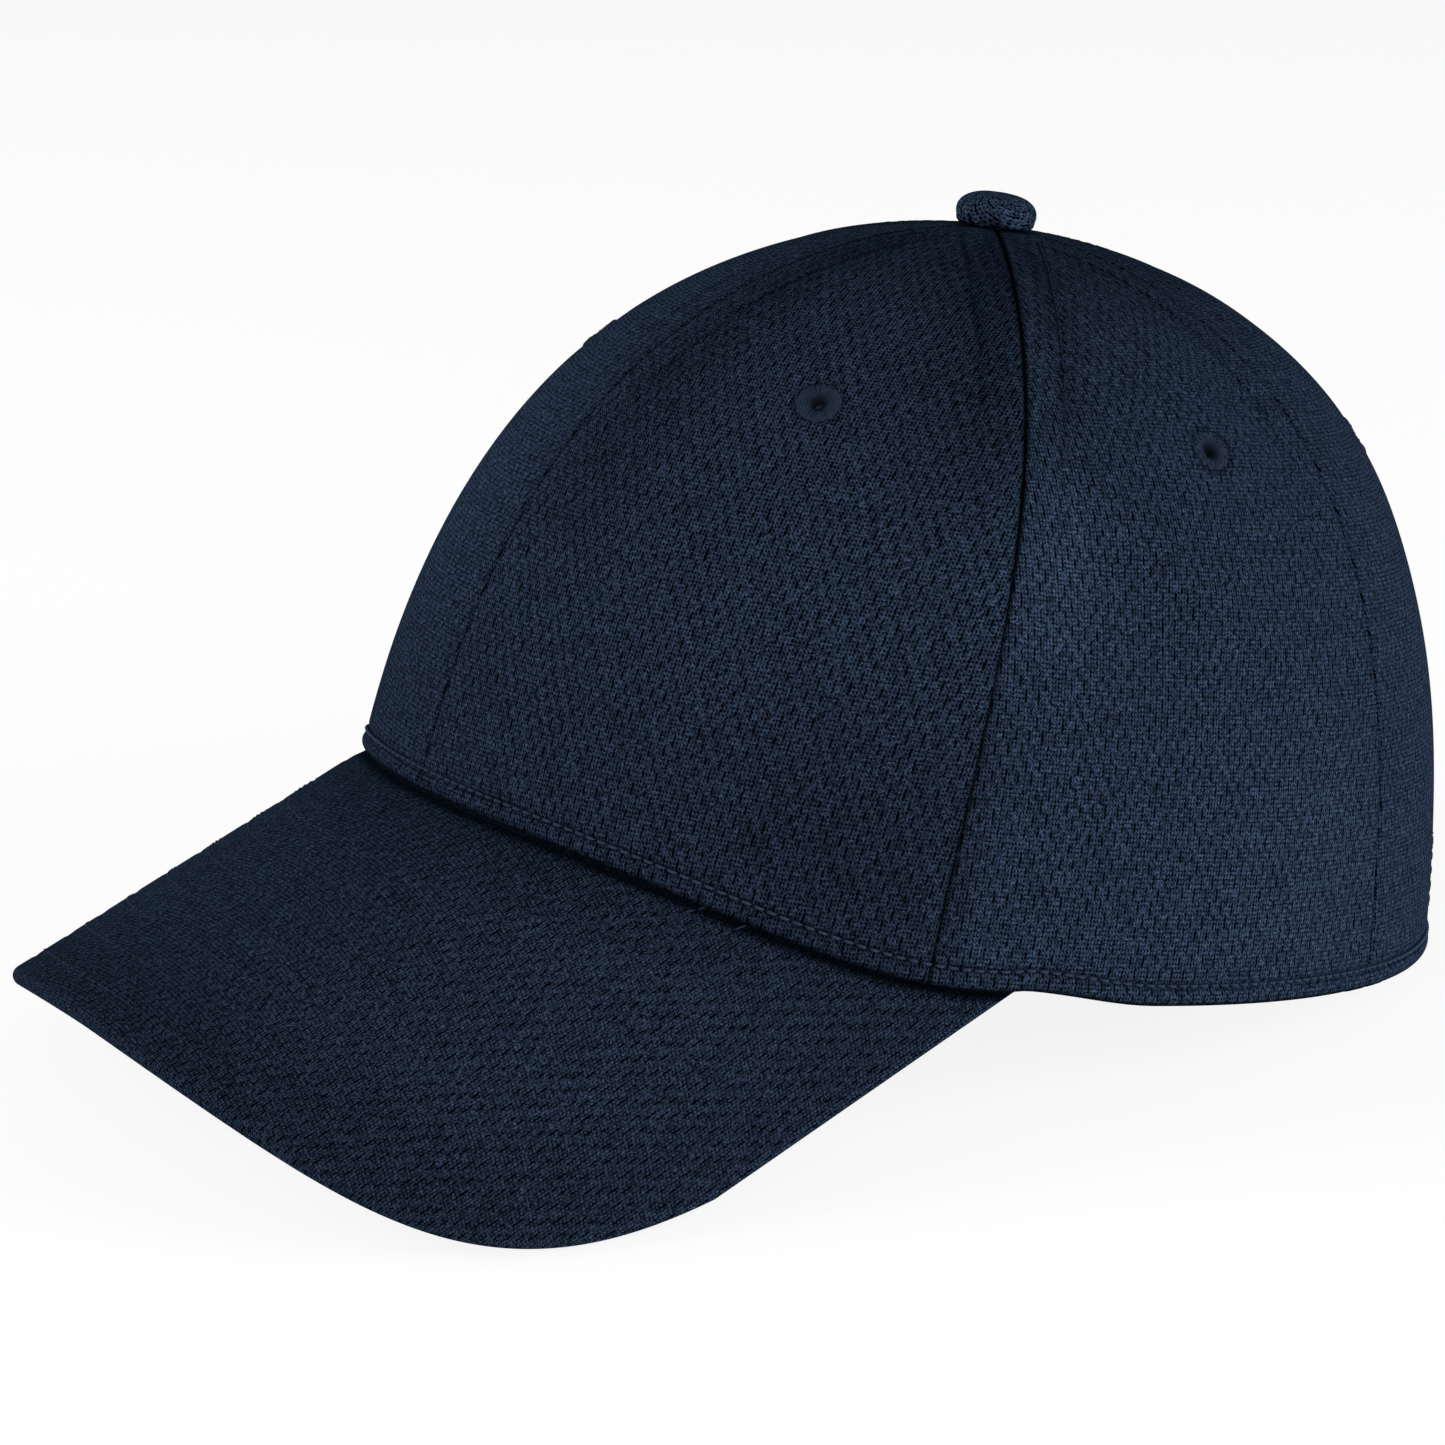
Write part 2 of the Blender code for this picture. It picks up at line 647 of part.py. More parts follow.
def build_cap():
    for old in list(bpy.data.objects):
        bpy.data.objects.remove(old, do_unlink=True)
    firsts = {
        "front_left": 0.0, "side_left": 60.0, "rear_left": 120.0,
        "rear_right": 180.0, "side_right": 240.0, "front_right": 300.0,
    }
    panels = {place: build_panel("panel_" + place, first) for place, first in firsts.items()}
    buckrams = {
        "front_left": build_buckram("buckram_left", 0.0),
        "front_right": build_buckram("buckram_right", 300.0),
    }
    for place, first in firsts.items():
        layers = [layer[place] for layer in (panels, buckrams) if place in layer]
        build_eyelet("eyelet_" + place, eyelet_angle(place), layers)
    seams = {
        "center_front": 0.0, "front_left": 60.0, "front_right": 300.0,
        "rear_left": 120.0, "rear_right": 240.0, "center_back": 180.0,
    }
    for place, seam in seams.items():
        layer = FRONT_TAPE if "front" in place else BACK_TAPE
        build_seam_tape("seam_tape_" + place, seam, layer)
    build_sweatband()
    build_care_label()
    build_arch_binding()
    build_button()
    build_visor_layer("visor_top_cover", VISOR_TOP_COVER, 0.0, NAVY, 0.85)
    build_visor_layer("visor_board", VISOR_BOARD, BOARD_INSET, BOARD_WHITE, 0.5)
    build_visor_layer("visor_under_cover", VISOR_UNDER_COVER, 0.0, NAVY, 0.85)
    build_straps()
    settle()


build_cap()
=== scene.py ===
"""Looks for the six-panel baseball cap: knit panels, visor, stitching, eyelets, linings and straps.

Every piece is drawn in the cap's own frame, as the CAD draws it: +Z up through the crown from the
plane of the head opening, the visor towards -Y, the wearer's left at +X. Angles round the crown are
in degrees from the front towards the wearer's left. Depths run inwards from the outside of the cloth.
"""

import json
import math

import bpy
import numpy as np
from mathutils import Matrix, Vector

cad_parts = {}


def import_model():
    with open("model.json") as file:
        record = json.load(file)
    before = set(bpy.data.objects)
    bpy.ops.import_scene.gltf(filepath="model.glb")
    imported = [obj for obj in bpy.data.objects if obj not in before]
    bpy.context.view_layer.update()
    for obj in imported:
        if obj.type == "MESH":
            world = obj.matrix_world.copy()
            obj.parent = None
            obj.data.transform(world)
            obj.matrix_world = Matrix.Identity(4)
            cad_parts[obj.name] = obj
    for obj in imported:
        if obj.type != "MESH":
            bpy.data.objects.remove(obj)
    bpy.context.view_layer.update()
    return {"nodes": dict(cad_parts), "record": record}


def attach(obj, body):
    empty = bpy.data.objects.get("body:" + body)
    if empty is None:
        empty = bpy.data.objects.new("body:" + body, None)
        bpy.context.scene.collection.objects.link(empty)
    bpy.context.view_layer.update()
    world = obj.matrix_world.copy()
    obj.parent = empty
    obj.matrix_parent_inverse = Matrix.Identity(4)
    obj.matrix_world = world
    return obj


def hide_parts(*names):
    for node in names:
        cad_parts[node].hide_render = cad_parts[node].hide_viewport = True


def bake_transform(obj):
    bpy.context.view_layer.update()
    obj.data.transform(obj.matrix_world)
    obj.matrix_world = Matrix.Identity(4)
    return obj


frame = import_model()

MM = 0.001

# The crown's shape
HEM_HALF_WIDTH = 0.0888
HEM_HALF_LENGTH = 0.1005
CROWN_HEIGHT = 0.1164
APEX_SET_BACK = 0.0012
RISE_POWER = 2.55
TAPER_POWER = 2.03
TAPER_POWER_FRONT = -0.18
WAIST = 0.029
PANEL_ANGLE = 60.0
SEAM_BOW_LOW = -0.4
SEAM_BOW = 4.4
TIP_RADIUS = 2.8 * MM

# The visor's shape
VISOR_PITCH = math.radians(32.6)
VISOR_LENGTH = 0.0585
VISOR_CORNER = 70.5
VISOR_FRONT_HEIGHT = 0.0134
VISOR_ARCH_SQUARE = 4.95
VISOR_ARCH_FOURTH = 410.0
VISOR_SIDE_POWER = 2.15
VISOR_FRONT_POWER = 4.1
VISOR_SEAM_GAP = 0.5 * MM
VISOR_SEWN_DEPTH = 6.2 * MM
VISOR_THICK = 3.6 * MM

# The back opening
ARCH_HALF_ANGLE = 26.0
ARCH_HEIGHT = 0.048
BINDING_WIDTH = 0.008
BINDING_LOW = 0.027

# Cloth
KNIT_THICK = 1.05 * MM
CREASE = math.radians(50.0)
SEAM_PRESS = 0.04 * MM
SEAM_ROLL = 1.0 * MM
HEM_ROLL = 1.15 * MM
HEM_STITCH = 3.6 * MM
HEM_LIFT = 1.7 * MM
HEM_LIFT_END = 86.0
HEM_FOLD = 1.5 * MM
ALLOWANCE = 6.5 * MM
EYELET_HEIGHT = 0.0885
EYELET_ANGLES = {"front": 33.0, "side": 96.0, "rear": 152.0}
EYELET_HOLE = 2.4 * MM
EYELET_REACH = 6.0 * MM
STITCH_PITCH = 2.2 * MM
THREAD_RADIUS = 0.2 * MM
FINE_THREAD_RADIUS = 0.14 * MM
HEM_THREAD_RADIUS = 0.27 * MM
HEM_STITCH_END = 152.5
SEAM_STITCH = 1.5 * MM
SEAM_STITCH_END = 0.012
# Rows round the back opening: distance from its edge, depth and height of the row's foot
ARCH_STITCHES = ((1.8 * MM, -0.48 * MM, 0.004), (6.6 * MM, -0.08 * MM, 0.006))
# Sewn boxes that hold the straps: their middle angles, half their width and their heights
STRAP_BOXES = (149.8, 210.2)
STRAP_BOX_HALF = 3.0
STRAP_BOX_LOW = 0.0075
STRAP_BOX_HIGH = 0.0205

# Linings, as depths of their two faces
FRONT_TAPE = (2.7 * MM, 3.3 * MM)
BACK_TAPE = (1.55 * MM, 2.15 * MM)
TAPE_HALF = 6.0 * MM
TAPE_TOP_RADIUS = 0.016
BUCKRAM_TOP_RADIUS = 0.022
SWEATBAND_END = 144.0
SWEATBAND_LAYER = (3.8 * MM, 4.95 * MM)
# Height over the band's foot, and depth
SWEATBAND_STITCHES = ((0.0042, 5.0 * MM), (0.0285, 5.15 * MM))
LABEL_ANGLE = 118.0
LABEL_HALF = 0.015
LABEL_LOW = 0.008
LABEL_HIGH = 0.026
LABEL_STITCH = 0.0248
LABEL_LAYER = (5.42 * MM, 5.78 * MM)

NAVY = (0.0090, 0.0148, 0.0266)
THREAD_NAVY = (0.0175, 0.0280, 0.0500)
LINING_NAVY = (0.013, 0.020, 0.036)


# ---- the cap's surfaces


def cap_placing():
    """Turn and shift from the cap's frame to the world, from the mount at the head opening."""
    mounts = frame["record"]["mounts"]
    opening = next(m for m in mounts if m["name"] == "head_opening")
    up = -np.array(opening["axis"])
    right = np.array([1.0, 0.0, 0.0])
    turn = np.stack([right, np.cross(up, right), up], axis=1)
    return turn, np.array(opening["pos_m"])


TURN, SHIFT = cap_placing()


def world(points):
    """Points of the cap's frame in the world."""
    return np.asarray(points) @ TURN.T + SHIFT


def unit(vectors):
    return vectors / np.maximum(np.linalg.norm(vectors, axis=-1, keepdims=True), 1e-12)


def smooth(values, start, end):
    """0 before start, 1 past end, and a smooth climb between."""
    t = np.clip((np.asarray(values, float) - start) / (end - start), 0.0, 1.0)
    return t * t * (3.0 - 2.0 * t)


def bump(values, centre, width):
    """A soft ridge, 1 high at its centre."""
    return np.exp(-(((values - centre) / width) ** 2))


def hem_radius(angle):
    turn = np.radians(angle)
    return 1.0 / np.hypot(np.sin(turn) / HEM_HALF_WIDTH, np.cos(turn) / HEM_HALF_LENGTH)


def outside(angle, rise):
    """Points on the crown. The rise runs from 0 at the hem plane to pi/2 at the apex."""
    turn = np.radians(angle)
    level = np.sin(rise) ** (2.0 / RISE_POWER)
    power = 2.0 / (TAPER_POWER + TAPER_POWER_FRONT * np.cos(turn))
    narrowed = np.cos(rise) ** power * (1.0 - WAIST * np.sin(math.pi * level))
    radius = hem_radius(angle) * narrowed
    back = APEX_SET_BACK * level**1.5
    return np.stack([radius * np.sin(turn), back - radius * np.cos(turn), CROWN_HEIGHT * level], -1)


def inward(angle, rise):
    """The direction into the crown, square to its outside."""
    low = np.maximum(rise - 0.002, 1e-5)
    high = np.minimum(rise + 0.002, math.pi / 2 - 1e-4)
    across = outside(angle + 0.2, rise) - outside(angle - 0.2, rise)
    up = outside(angle, high) - outside(angle, low)
    return -unit(np.cross(across, up))


def crown(angle, rise, depth):
    angle, rise = np.broadcast_arrays(np.asarray(angle, float), np.asarray(rise, float))
    return outside(angle, rise) + inward(angle, rise) * np.asarray(depth)[..., None]


def rise_at_height(height):
    level = np.clip(np.asarray(height, float) / CROWN_HEIGHT, 0.0, 1.0)
    return np.arcsin(np.minimum(level ** (RISE_POWER / 2.0), 1.0))


def from_axis(points):
    """Distance from the upright line through the apex."""
    return np.hypot(points[..., 0], points[..., 1] - APEX_SET_BACK)


def rise_at_radius(angle, radius):
    low = np.full(np.shape(angle), 0.5)
    high = np.full(np.shape(angle), math.pi / 2)
    for _ in range(40):
        middle = (low + high) / 2
        wide = from_axis(outside(angle, middle)) > radius
        low, high = np.where(wide, middle, low), np.where(wide, high, middle)
    return low


def signed(angle):
    return (np.asarray(angle, float) + 180.0) % 360.0 - 180.0


def bowed(angle, rise):
    """Shifts an angle with the bow of the two seams behind the front panels."""
    turn = signed(angle)
    near = 1.0 - np.minimum(np.abs(np.abs(turn) - PANEL_ANGLE) / PANEL_ANGLE, 1.0)
    shift = near * (SEAM_BOW_LOW + SEAM_BOW * np.sin(2.0 * rise))
    return angle + np.sign(turn) * shift


VISOR_START = -float(outside(np.array(0.0), rise_at_height(VISOR_FRONT_HEIGHT))[1])


def visor_height(x, y):
    arch = VISOR_ARCH_SQUARE * x**2 + VISOR_ARCH_FOURTH * x**4
    return VISOR_FRONT_HEIGHT + math.tan(VISOR_PITCH) * (y + VISOR_START) - arch


def visor_down(x):
    slope = -2.0 * VISOR_ARCH_SQUARE * x - 4.0 * VISOR_ARCH_FOURTH * x**3
    fall = np.full_like(x, math.tan(VISOR_PITCH))
    return unit(np.stack([slope, fall, -np.ones_like(x)], -1))


def hem_rise(angle, depth=0.0, lift=0.0):
    """The rise of the crown's lower edge: on the visor in front, on the hem plane elsewhere."""
    angle = np.asarray(angle, float)
    turn = np.abs(signed(angle))
    most = np.where(turn < VISOR_CORNER, 1.0, HEM_LIFT * (1.0 - smooth(turn, VISOR_CORNER, HEM_LIFT_END)))
    low, high = np.zeros_like(angle), np.full_like(angle, 0.9)
    for _ in range(30):
        middle = (low + high) / 2
        point = crown(angle, middle, np.broadcast_to(depth, angle.shape))
        over = visor_height(point[..., 0], point[..., 1]) + VISOR_SEAM_GAP
        above = point[..., 2] > lift + np.clip(over, 0.0, most)
        low, high = np.where(above, low, middle), np.where(above, middle, high)
    return low


def arch_rise(angle):
    """The rise of the back opening's edge above each angle."""
    share = (angle - 180.0) / ARCH_HALF_ANGLE
    return rise_at_height(ARCH_HEIGHT * np.sqrt(np.maximum(1.0 - share**2, 0.0)))


def low_rise(angle):
    """The lower edge of a panel, which rises over the back opening."""
    hem = hem_rise(angle)
    return np.where(np.abs(angle - 180.0) < ARCH_HALF_ANGLE, np.maximum(arch_rise(angle), hem), hem)


def climb(angles, low, high, near, steps):
    """Rises up each column at the near distances from its foot, then evenly to its top."""
    table = low[:, None] + (high - low)[:, None] * np.linspace(0.0, 1.0, 160) ** 2
    points = outside(angles[:, None], table)
    runs = np.cumsum(np.linalg.norm(np.diff(points, axis=1), axis=2), axis=1)
    runs = np.concatenate([np.zeros((len(angles), 1)), runs], axis=1)
    rises = []
    for column, lengths in zip(table, runs):
        rest = np.linspace(near[-1], lengths[-1], steps + 1)[1:]
        rises.append(np.interp(np.concatenate([near, rest]), lengths, column))
    return np.stack(rises, axis=1)


def darkest(*layers):
    return np.maximum.reduce(np.broadcast_arrays(*layers))


def path_length(points):
    steps = np.linalg.norm(np.diff(points, axis=0), axis=1)
    return np.concatenate([[0.0], np.cumsum(steps)])


def distance_to(points, line):
    """How far each point is from a polyline."""
    flat = points.reshape(-1, 3)
    nearest = np.full(len(flat), 1e9)
    for start, end in zip(line[:-1], line[1:]):
        run = end - start
        share = np.clip((flat - start) @ run / max(run @ run, 1e-18), 0.0, 1.0)
        nearest = np.minimum(nearest, np.linalg.norm(flat - start - share[:, None] * run, axis=1))
    return nearest.reshape(points.shape[:-1])


def rolled(distance, radius):
    """How far a rounded edge has dropped at a distance in from its rim."""
    past = np.clip(radius - distance, 0.0, radius)
    return radius - np.sqrt(radius**2 - past**2)


# ---- meshes


def add_object(name, data):
    made = bpy.data.objects.new(name, data)
    bpy.context.scene.collection.objects.link(made)
    return made


def add_piece(name, points, faces, coords, looks, slot, body="crown", nodes=(), hollow=None):
    """One piece of the cap, in place in the world. coords are the cloth's own metres.

    The point attribute holds painted shading: painted shade up to 1 in folds, seams and other shaded
    places, and painted highlight below 0.
    """
    mesh = bpy.data.meshes.new(name)
    mesh.from_pydata(world(points).tolist(), [], [face.tolist() for face in faces])
    corners = np.concatenate([np.asarray(face) for face in faces])
    cloth = mesh.uv_layers.new(name="cloth")
    cloth.data.foreach_set("uv", np.asarray(coords, np.float32)[corners].ravel())
    # Painted shade and painted highlight, which the materials fold into the colour.
    shade = mesh.attributes.new("hollow", "FLOAT", "POINT")
    shade.data.foreach_set("value", np.zeros(len(points)) if hollow is None else hollow)
    mesh.shade_smooth()
    mesh.set_sharp_from_angle(angle=CREASE)
    mesh.materials.append(looks)
    piece = add_object(name, mesh)
    if nodes:
        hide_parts(*nodes)
    if body:
        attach(piece, body)
    return piece


def plate_faces(rows, columns, keep):
    """Faces of a closed plate: its outer grid, its inner grid and the walls along every edge."""
    ids = np.arange(rows * columns).reshape(rows, columns)
    a, b, c, d = ids[:-1, :-1], ids[:-1, 1:], ids[1:, 1:], ids[1:, :-1]
    outer = np.stack([a, b, c, d], -1)[keep]
    made = [outer, outer[:, ::-1] + ids.size]
    around = np.pad(keep, 1)
    sides = (
        (a, b, around[:-2, 1:-1]), (b, c, around[1:-1, 2:]),
        (c, d, around[2:, 1:-1]), (d, a, around[1:-1, :-2]),
    )
    for p, q, beyond in sides:
        made.append(np.stack([q, p, p + ids.size, q + ids.size], -1)[keep & ~beyond])
    return np.concatenate(made)


def add_plate(name, outer, inner, coords, looks, slot, keep=None, hollow=None, **settings):
    """A closed sheet of cloth between two grids of points."""
    rows, columns = outer.shape[:2]
    if keep is None:
        keep = np.ones((rows - 1, columns - 1), bool)
    faces = plate_faces(rows, columns, keep)
    points = np.concatenate([outer.reshape(-1, 3), inner.reshape(-1, 3)])
    cloth = np.tile(coords.reshape(-1, 2), (2, 1))
    shade = np.tile(hollow.ravel(), 2) if hollow is not None else np.zeros(len(points))
    used, faces = np.unique(faces, return_inverse=True)
    settings["hollow"] = shade[used]
    return add_piece(name, points[used], faces.reshape(-1, 4), cloth[used], looks, slot, **settings)


def ring_faces(rings, sides, closed):
    """Faces round a stack of rings. A closed stack joins its last ring to its first."""
    ids = np.arange(rings * sides).reshape(rings, sides)
    after = np.roll(ids, -1, axis=0) if closed else ids[1:]
    here = ids if closed else ids[:-1]
    return np.stack([here, np.roll(here, -1, 1), np.roll(after, -1, 1), after], -1).reshape(-1, 4)


def stitch_mesh(path, facing, pitch=STITCH_PITCH, share=0.8, radius=THREAD_RADIUS, proud=0.5):
    """Stitches laid end to end along a path on the cloth, each a short tube that dips in at its ends."""
    length = path_length(path)
    count = max(int(length[-1] / pitch), 1)
    pitch = length[-1] / count
    t = np.linspace(-0.5, 0.5, 6)
    at = (np.arange(count)[:, None] + 0.5 + t[None, :] * share) * pitch

    def along(values):
        return np.stack([np.interp(at, length, values[:, i]) for i in range(3)], -1)

    points, up = along(path), unit(along(facing))
    run = unit(np.gradient(points, axis=1))
    side = unit(np.cross(run, up))
    thin = np.array([0.35, 0.9, 1.0, 1.0, 0.9, 0.35]) * radius
    arch = (np.cos(t * math.pi) ** 0.5 * (1.0 + proud) - 1.0) * radius
    points = points + up * arch[None, :, None]
    turns = np.radians(np.arange(6) * 60.0)
    ring = np.cos(turns)[:, None] * up[:, :, None, :] + np.sin(turns)[:, None] * side[:, :, None, :]
    verts = points[:, :, None, :] + ring * thin[None, :, None, None]
    sleeve = ring_faces(6, 6, False)
    ends = np.array([[0, 3, 2, 1], [0, 5, 4, 3], [30, 31, 32, 33], [30, 33, 34, 35]])
    one = np.concatenate([sleeve, ends])
    faces = (one[None] + 36 * np.arange(count)[:, None, None]).reshape(-1, 4)
    around = np.broadcast_to(np.arange(6) * radius, (count, 6, 6))
    lengthwise = np.broadcast_to(at[:, :, None], (count, 6, 6))
    coords = np.stack([around, lengthwise], -1).reshape(-1, 2)
    return verts.reshape(-1, 3), faces, coords


def add_stitches(name, rows, looks, slot="mesh_knit", **settings):
    """Rows of stitches joined into one piece."""
    start, points, faces, coords = 0, [], [], []
    for verts, quads, cloth in rows:
        points.append(verts)
        faces.append(quads + start)
        coords.append(cloth)
        start += len(verts)
    joined = [np.concatenate(part) for part in (points, faces, coords)]
    return add_piece(name, *joined, looks, slot, **settings)


# ---- material formulas


def fill(tree, node, inputs):
    """Links or sets a shader node's inputs."""
    for name, value in inputs.items():
        if isinstance(value, bpy.types.NodeSocket):
            tree.links.new(value, node.inputs[name])
        else:
            node.inputs[name].default_value = value


def shader_node(tree, kind, inputs, **settings):
    node = tree.nodes.new(kind)
    for name, value in settings.items():
        setattr(node, name, value)
    fill(tree, node, inputs)
    return node


def ramp(tree, value, start, end, low, high):
    """A smooth run from low to high as a value goes from start to end."""
    inputs = {"Value": value, "From Min": start, "From Max": end, "To Min": low, "To Max": high}
    node = shader_node(tree, "ShaderNodeMapRange", inputs, interpolation_type="SMOOTHSTEP")
    return node.outputs["Result"]


class Field:
    """A value in a shader, so that a pattern reads as a formula."""

    def __init__(self, tree, socket):
        self.tree = tree
        self.socket = socket

    def op(self, kind, *others, clamp=False):
        values = [value.socket if isinstance(value, Field) else value for value in (self, *others)]
        settings = {"operation": kind, "use_clamp": clamp}
        node = shader_node(self.tree, "ShaderNodeMath", dict(enumerate(values)), **settings)
        return Field(self.tree, node.outputs[0])

    def __add__(self, other):
        return self.op("ADD", other)

    def __sub__(self, other):
        return self.op("SUBTRACT", other)

    def __mul__(self, other):
        return self.op("MULTIPLY", other)

    def fract(self):
        return self.op("FRACT")

    def floor(self):
        return self.op("FLOOR")

    def centred(self):
        """Distance from the middle of each repeat, 0 to 1."""
        return (self.fract() - 0.5).op("ABSOLUTE") * 2.0

    def fade(self, start, end):
        """1 below start, 0 above end."""
        return Field(self.tree, ramp(self.tree, self.socket, start, end, 1.0, 0.0))


class Look:
    """A Principled material with formulas for its colour and height."""

    def __init__(self, name, roughness, sheen=0.0, sheen_tint=(1.0, 1.0, 1.0), metallic=0.0, specular=0.5):
        self.material = bpy.data.materials.new(name)
        self.material.use_nodes = True
        self.tree = self.material.node_tree
        self.finish({
            "Roughness": roughness, "Metallic": metallic, "Specular IOR Level": specular,
            "Sheen Weight": sheen, "Sheen Roughness": 0.4, "Sheen Tint": (*sheen_tint, 1.0),
        })
        self.coords = self.node("ShaderNodeUVMap", {}, uv_map="cloth").outputs[0]
        split = self.node("ShaderNodeSeparateXYZ", {0: self.coords})
        # The offset keeps both coordinates positive, for the patterns' row counts.
        self.u = Field(self.tree, split.outputs[0]) + 0.5
        self.v = Field(self.tree, split.outputs[1]) + 0.5

    def finish(self, inputs):
        fill(self.tree, self.tree.nodes["Principled BSDF"], inputs)

    def node(self, kind, inputs, **settings):
        return shader_node(self.tree, kind, inputs, **settings)

    def follow_object(self):
        """Takes coordinates from the piece's own shape, where it has no cloth."""
        self.coords = self.node("ShaderNodeTexCoord", {}).outputs["Object"]

    def noise(self, scale, detail=2.0, stretch=(1.0, 1.0, 1.0)):
        """Noise with this many features to the metre, 0 to 1."""
        spot = self.node("ShaderNodeMapping", {"Vector": self.coords, "Scale": stretch}).outputs[0]
        node = self.node("ShaderNodeTexNoise", {"Vector": spot, "Scale": scale, "Detail": detail})
        return Field(self.tree, node.outputs[0])

    def scatter(self, a, b):
        """A random value for each pair of whole numbers."""
        spot = self.node("ShaderNodeCombineXYZ", {0: a.socket, 1: b.socket}).outputs[0]
        node = self.node("ShaderNodeTexWhiteNoise", {"Vector": spot}, noise_dimensions="2D")
        return Field(self.tree, node.outputs["Value"])

    def colour(self, dark, light, amount):
        """Colour from dark to light as the amount runs from 0 to 1."""
        inputs = {"A": (*dark, 1.0), "B": (*light, 1.0), "Factor": amount.socket}
        node = self.node("ShaderNodeMix", inputs, data_type="RGBA")
        self.finish({"Base Color": node.outputs["Result"]})

    def with_painted_shading(self, level):
        """A level darkened by the piece's painted shade and lightened by its painted highlight."""
        fold = self.node("ShaderNodeAttribute", {}, attribute_name="hollow").outputs["Fac"]
        open_to_light = Field(self.tree, fold) * -1.0 + 1.0
        return (level.op("MAXIMUM", 0.0) * open_to_light).op("ADD", 0.0, clamp=True)

    def relief(self, height, depth, strength=1.0):
        """Bump from a height of 0 to 1, this deep in metres."""
        inputs = {"Strength": strength, "Distance": depth, "Height": height.socket}
        self.finish({"Normal": self.node("ShaderNodeBump", inputs).outputs["Normal"]})

    def roughness(self, low, high, amount):
        self.finish({"Roughness": (amount * (high - low) + low).socket})


def tinted(colour, factor):
    return tuple(channel * factor for channel in colour)


# ---- materials

SLIT_ACROSS = 2.4 * MM
SLIT_ALONG = 2.2 * MM
WALE = SLIT_ACROSS / 4
COURSE = SLIT_ALONG / 3
FLECK = 0.27 * MM


def knit_look(name, base=NAVY, slits=0.47):
    """Wicking mesh knit: slanted loops in even rows, with dark slits staggered like bricks."""
    look = Look(name, roughness=0.6, sheen=0.012, sheen_tint=(0.25, 0.5, 1.0), specular=0.0)
    u = look.u + (look.noise(700.0, 1.0) - 0.5) * (0.14 * MM)
    v = look.v + (look.noise(500.0, 1.0) - 0.5) * (0.18 * MM)
    brick = (v * (1.0 / SLIT_ALONG)).floor()
    slit_u = u * (1.0 / SLIT_ACROSS) + brick.op("FLOORED_MODULO", 2.0) * 0.5
    slit_v = v * (1.0 / SLIT_ALONG)
    slit = (slit_u.centred() * -1.0 + 1.0).fade(0.08, 0.28) * slit_v.centred().fade(0.75, 1.1)
    slit = slit * (look.scatter(slit_u.floor(), brick) * 0.25 + 0.75)
    wale, course = u * (1.0 / WALE), v * (1.0 / COURSE)
    loop = wale.centred().fade(0.3, 1.0) * course.centred().fade(0.3, 1.05)
    slant = (wale + course).centred().fade(0.1, 1.0)
    shine = look.scatter(wale.floor(), course.floor())
    fleck = look.scatter((u * (1.0 / FLECK)).floor(), (v * (1.0 / FLECK)).floor())
    patch = (look.noise(30.0, 3.0) - 0.5) * 0.06
    grain = (look.noise(4200.0, 1.0) - 0.5) * 0.7 + fleck.op("POWER", 4.0) * 1.0
    level = (loop * 0.65 + slant * 0.55) * (shine * 0.4 + 0.65) + grain + patch - slit * slits - 0.22
    # The colour carries the piece's painted shade and painted highlight.
    look.colour(tinted(base, 0.08), tinted(base, 6.4), look.with_painted_shading(level * 0.6))
    look.relief(loop * 0.3 - slit, 0.22 * MM, 0.6)
    look.roughness(0.5, 0.75, look.noise(600.0, 1.0))
    return look.material


def woven_look(name, base, pitch, relief=0.15 * MM, ribs=1.0, **settings):
    """Plain weave. ribs stretches the repeat across, which turns the weave into tape ribs."""
    look = Look(name, sheen_tint=(0.5, 0.7, 1.0), **settings)
    a = look.u * (1.0 / (pitch * ribs))
    b = look.v * (1.0 / pitch)
    over = (a.floor() + b.floor()).op("FLOORED_MODULO", 2.0)
    warp = a.centred().fade(0.3, 1.0)
    weft = b.centred().fade(0.3, 1.0)
    height = warp * over + weft * (over * -1.0 + 1.0)
    tone = look.scatter(a.floor(), b.floor()) * 0.35 + look.noise(60.0, 3.0) * 0.3
    look.colour(tinted(base, 0.5), tinted(base, 1.5), height * 0.55 + tone)
    look.relief(height, relief, 0.8)
    return look.material


def buckram_look():
    """Stiffened open weave: pale threads round small dark holes."""
    look = Look("buckram_weave", roughness=0.85)
    a = look.u * (1.0 / (1.1 * MM))
    b = look.v * (1.0 / (1.1 * MM))
    thread = a.centred().fade(0.75, 0.5) * b.centred().fade(0.75, 0.5)
    solid = thread * -1.0 + 1.0
    tone = look.noise(900.0, 2.0) * 0.25 + look.noise(45.0, 2.0) * 0.2
    look.colour((0.16, 0.16, 0.155), (0.78, 0.77, 0.73), solid * 0.62 + tone)
    look.relief(solid, 0.3 * MM, 0.9)
    return look.material


def thread_look(name, base):
    """Twisted polyester thread."""
    look = Look(name, roughness=0.5, sheen=0.01, sheen_tint=(0.3, 0.55, 1.0), specular=0.01)
    twist = (look.u * 900.0 + look.v * 1600.0).centred()
    strand = twist * 0.5 + look.noise(500.0) * 0.5 + 0.2
    # The colour carries the piece's painted shade and painted highlight.
    look.colour(tinted(base, 0.25), tinted(base, 1.35), look.with_painted_shading(strand))
    look.relief(twist, 0.06 * MM, 0.7)
    return look.material


def pile_look(name, base, scale):
    """Brushed or hooked pile."""
    look = Look(name, roughness=0.8, sheen=0.08, sheen_tint=(0.4, 0.6, 1.0), specular=0.1)
    fuzz = look.noise(scale, 4.0, (1.0, 0.6, 1.0))
    look.colour(tinted(base, 0.4), tinted(base, 2.0), fuzz)
    look.relief(fuzz, 0.5 * MM, 1.0)
    return look.material


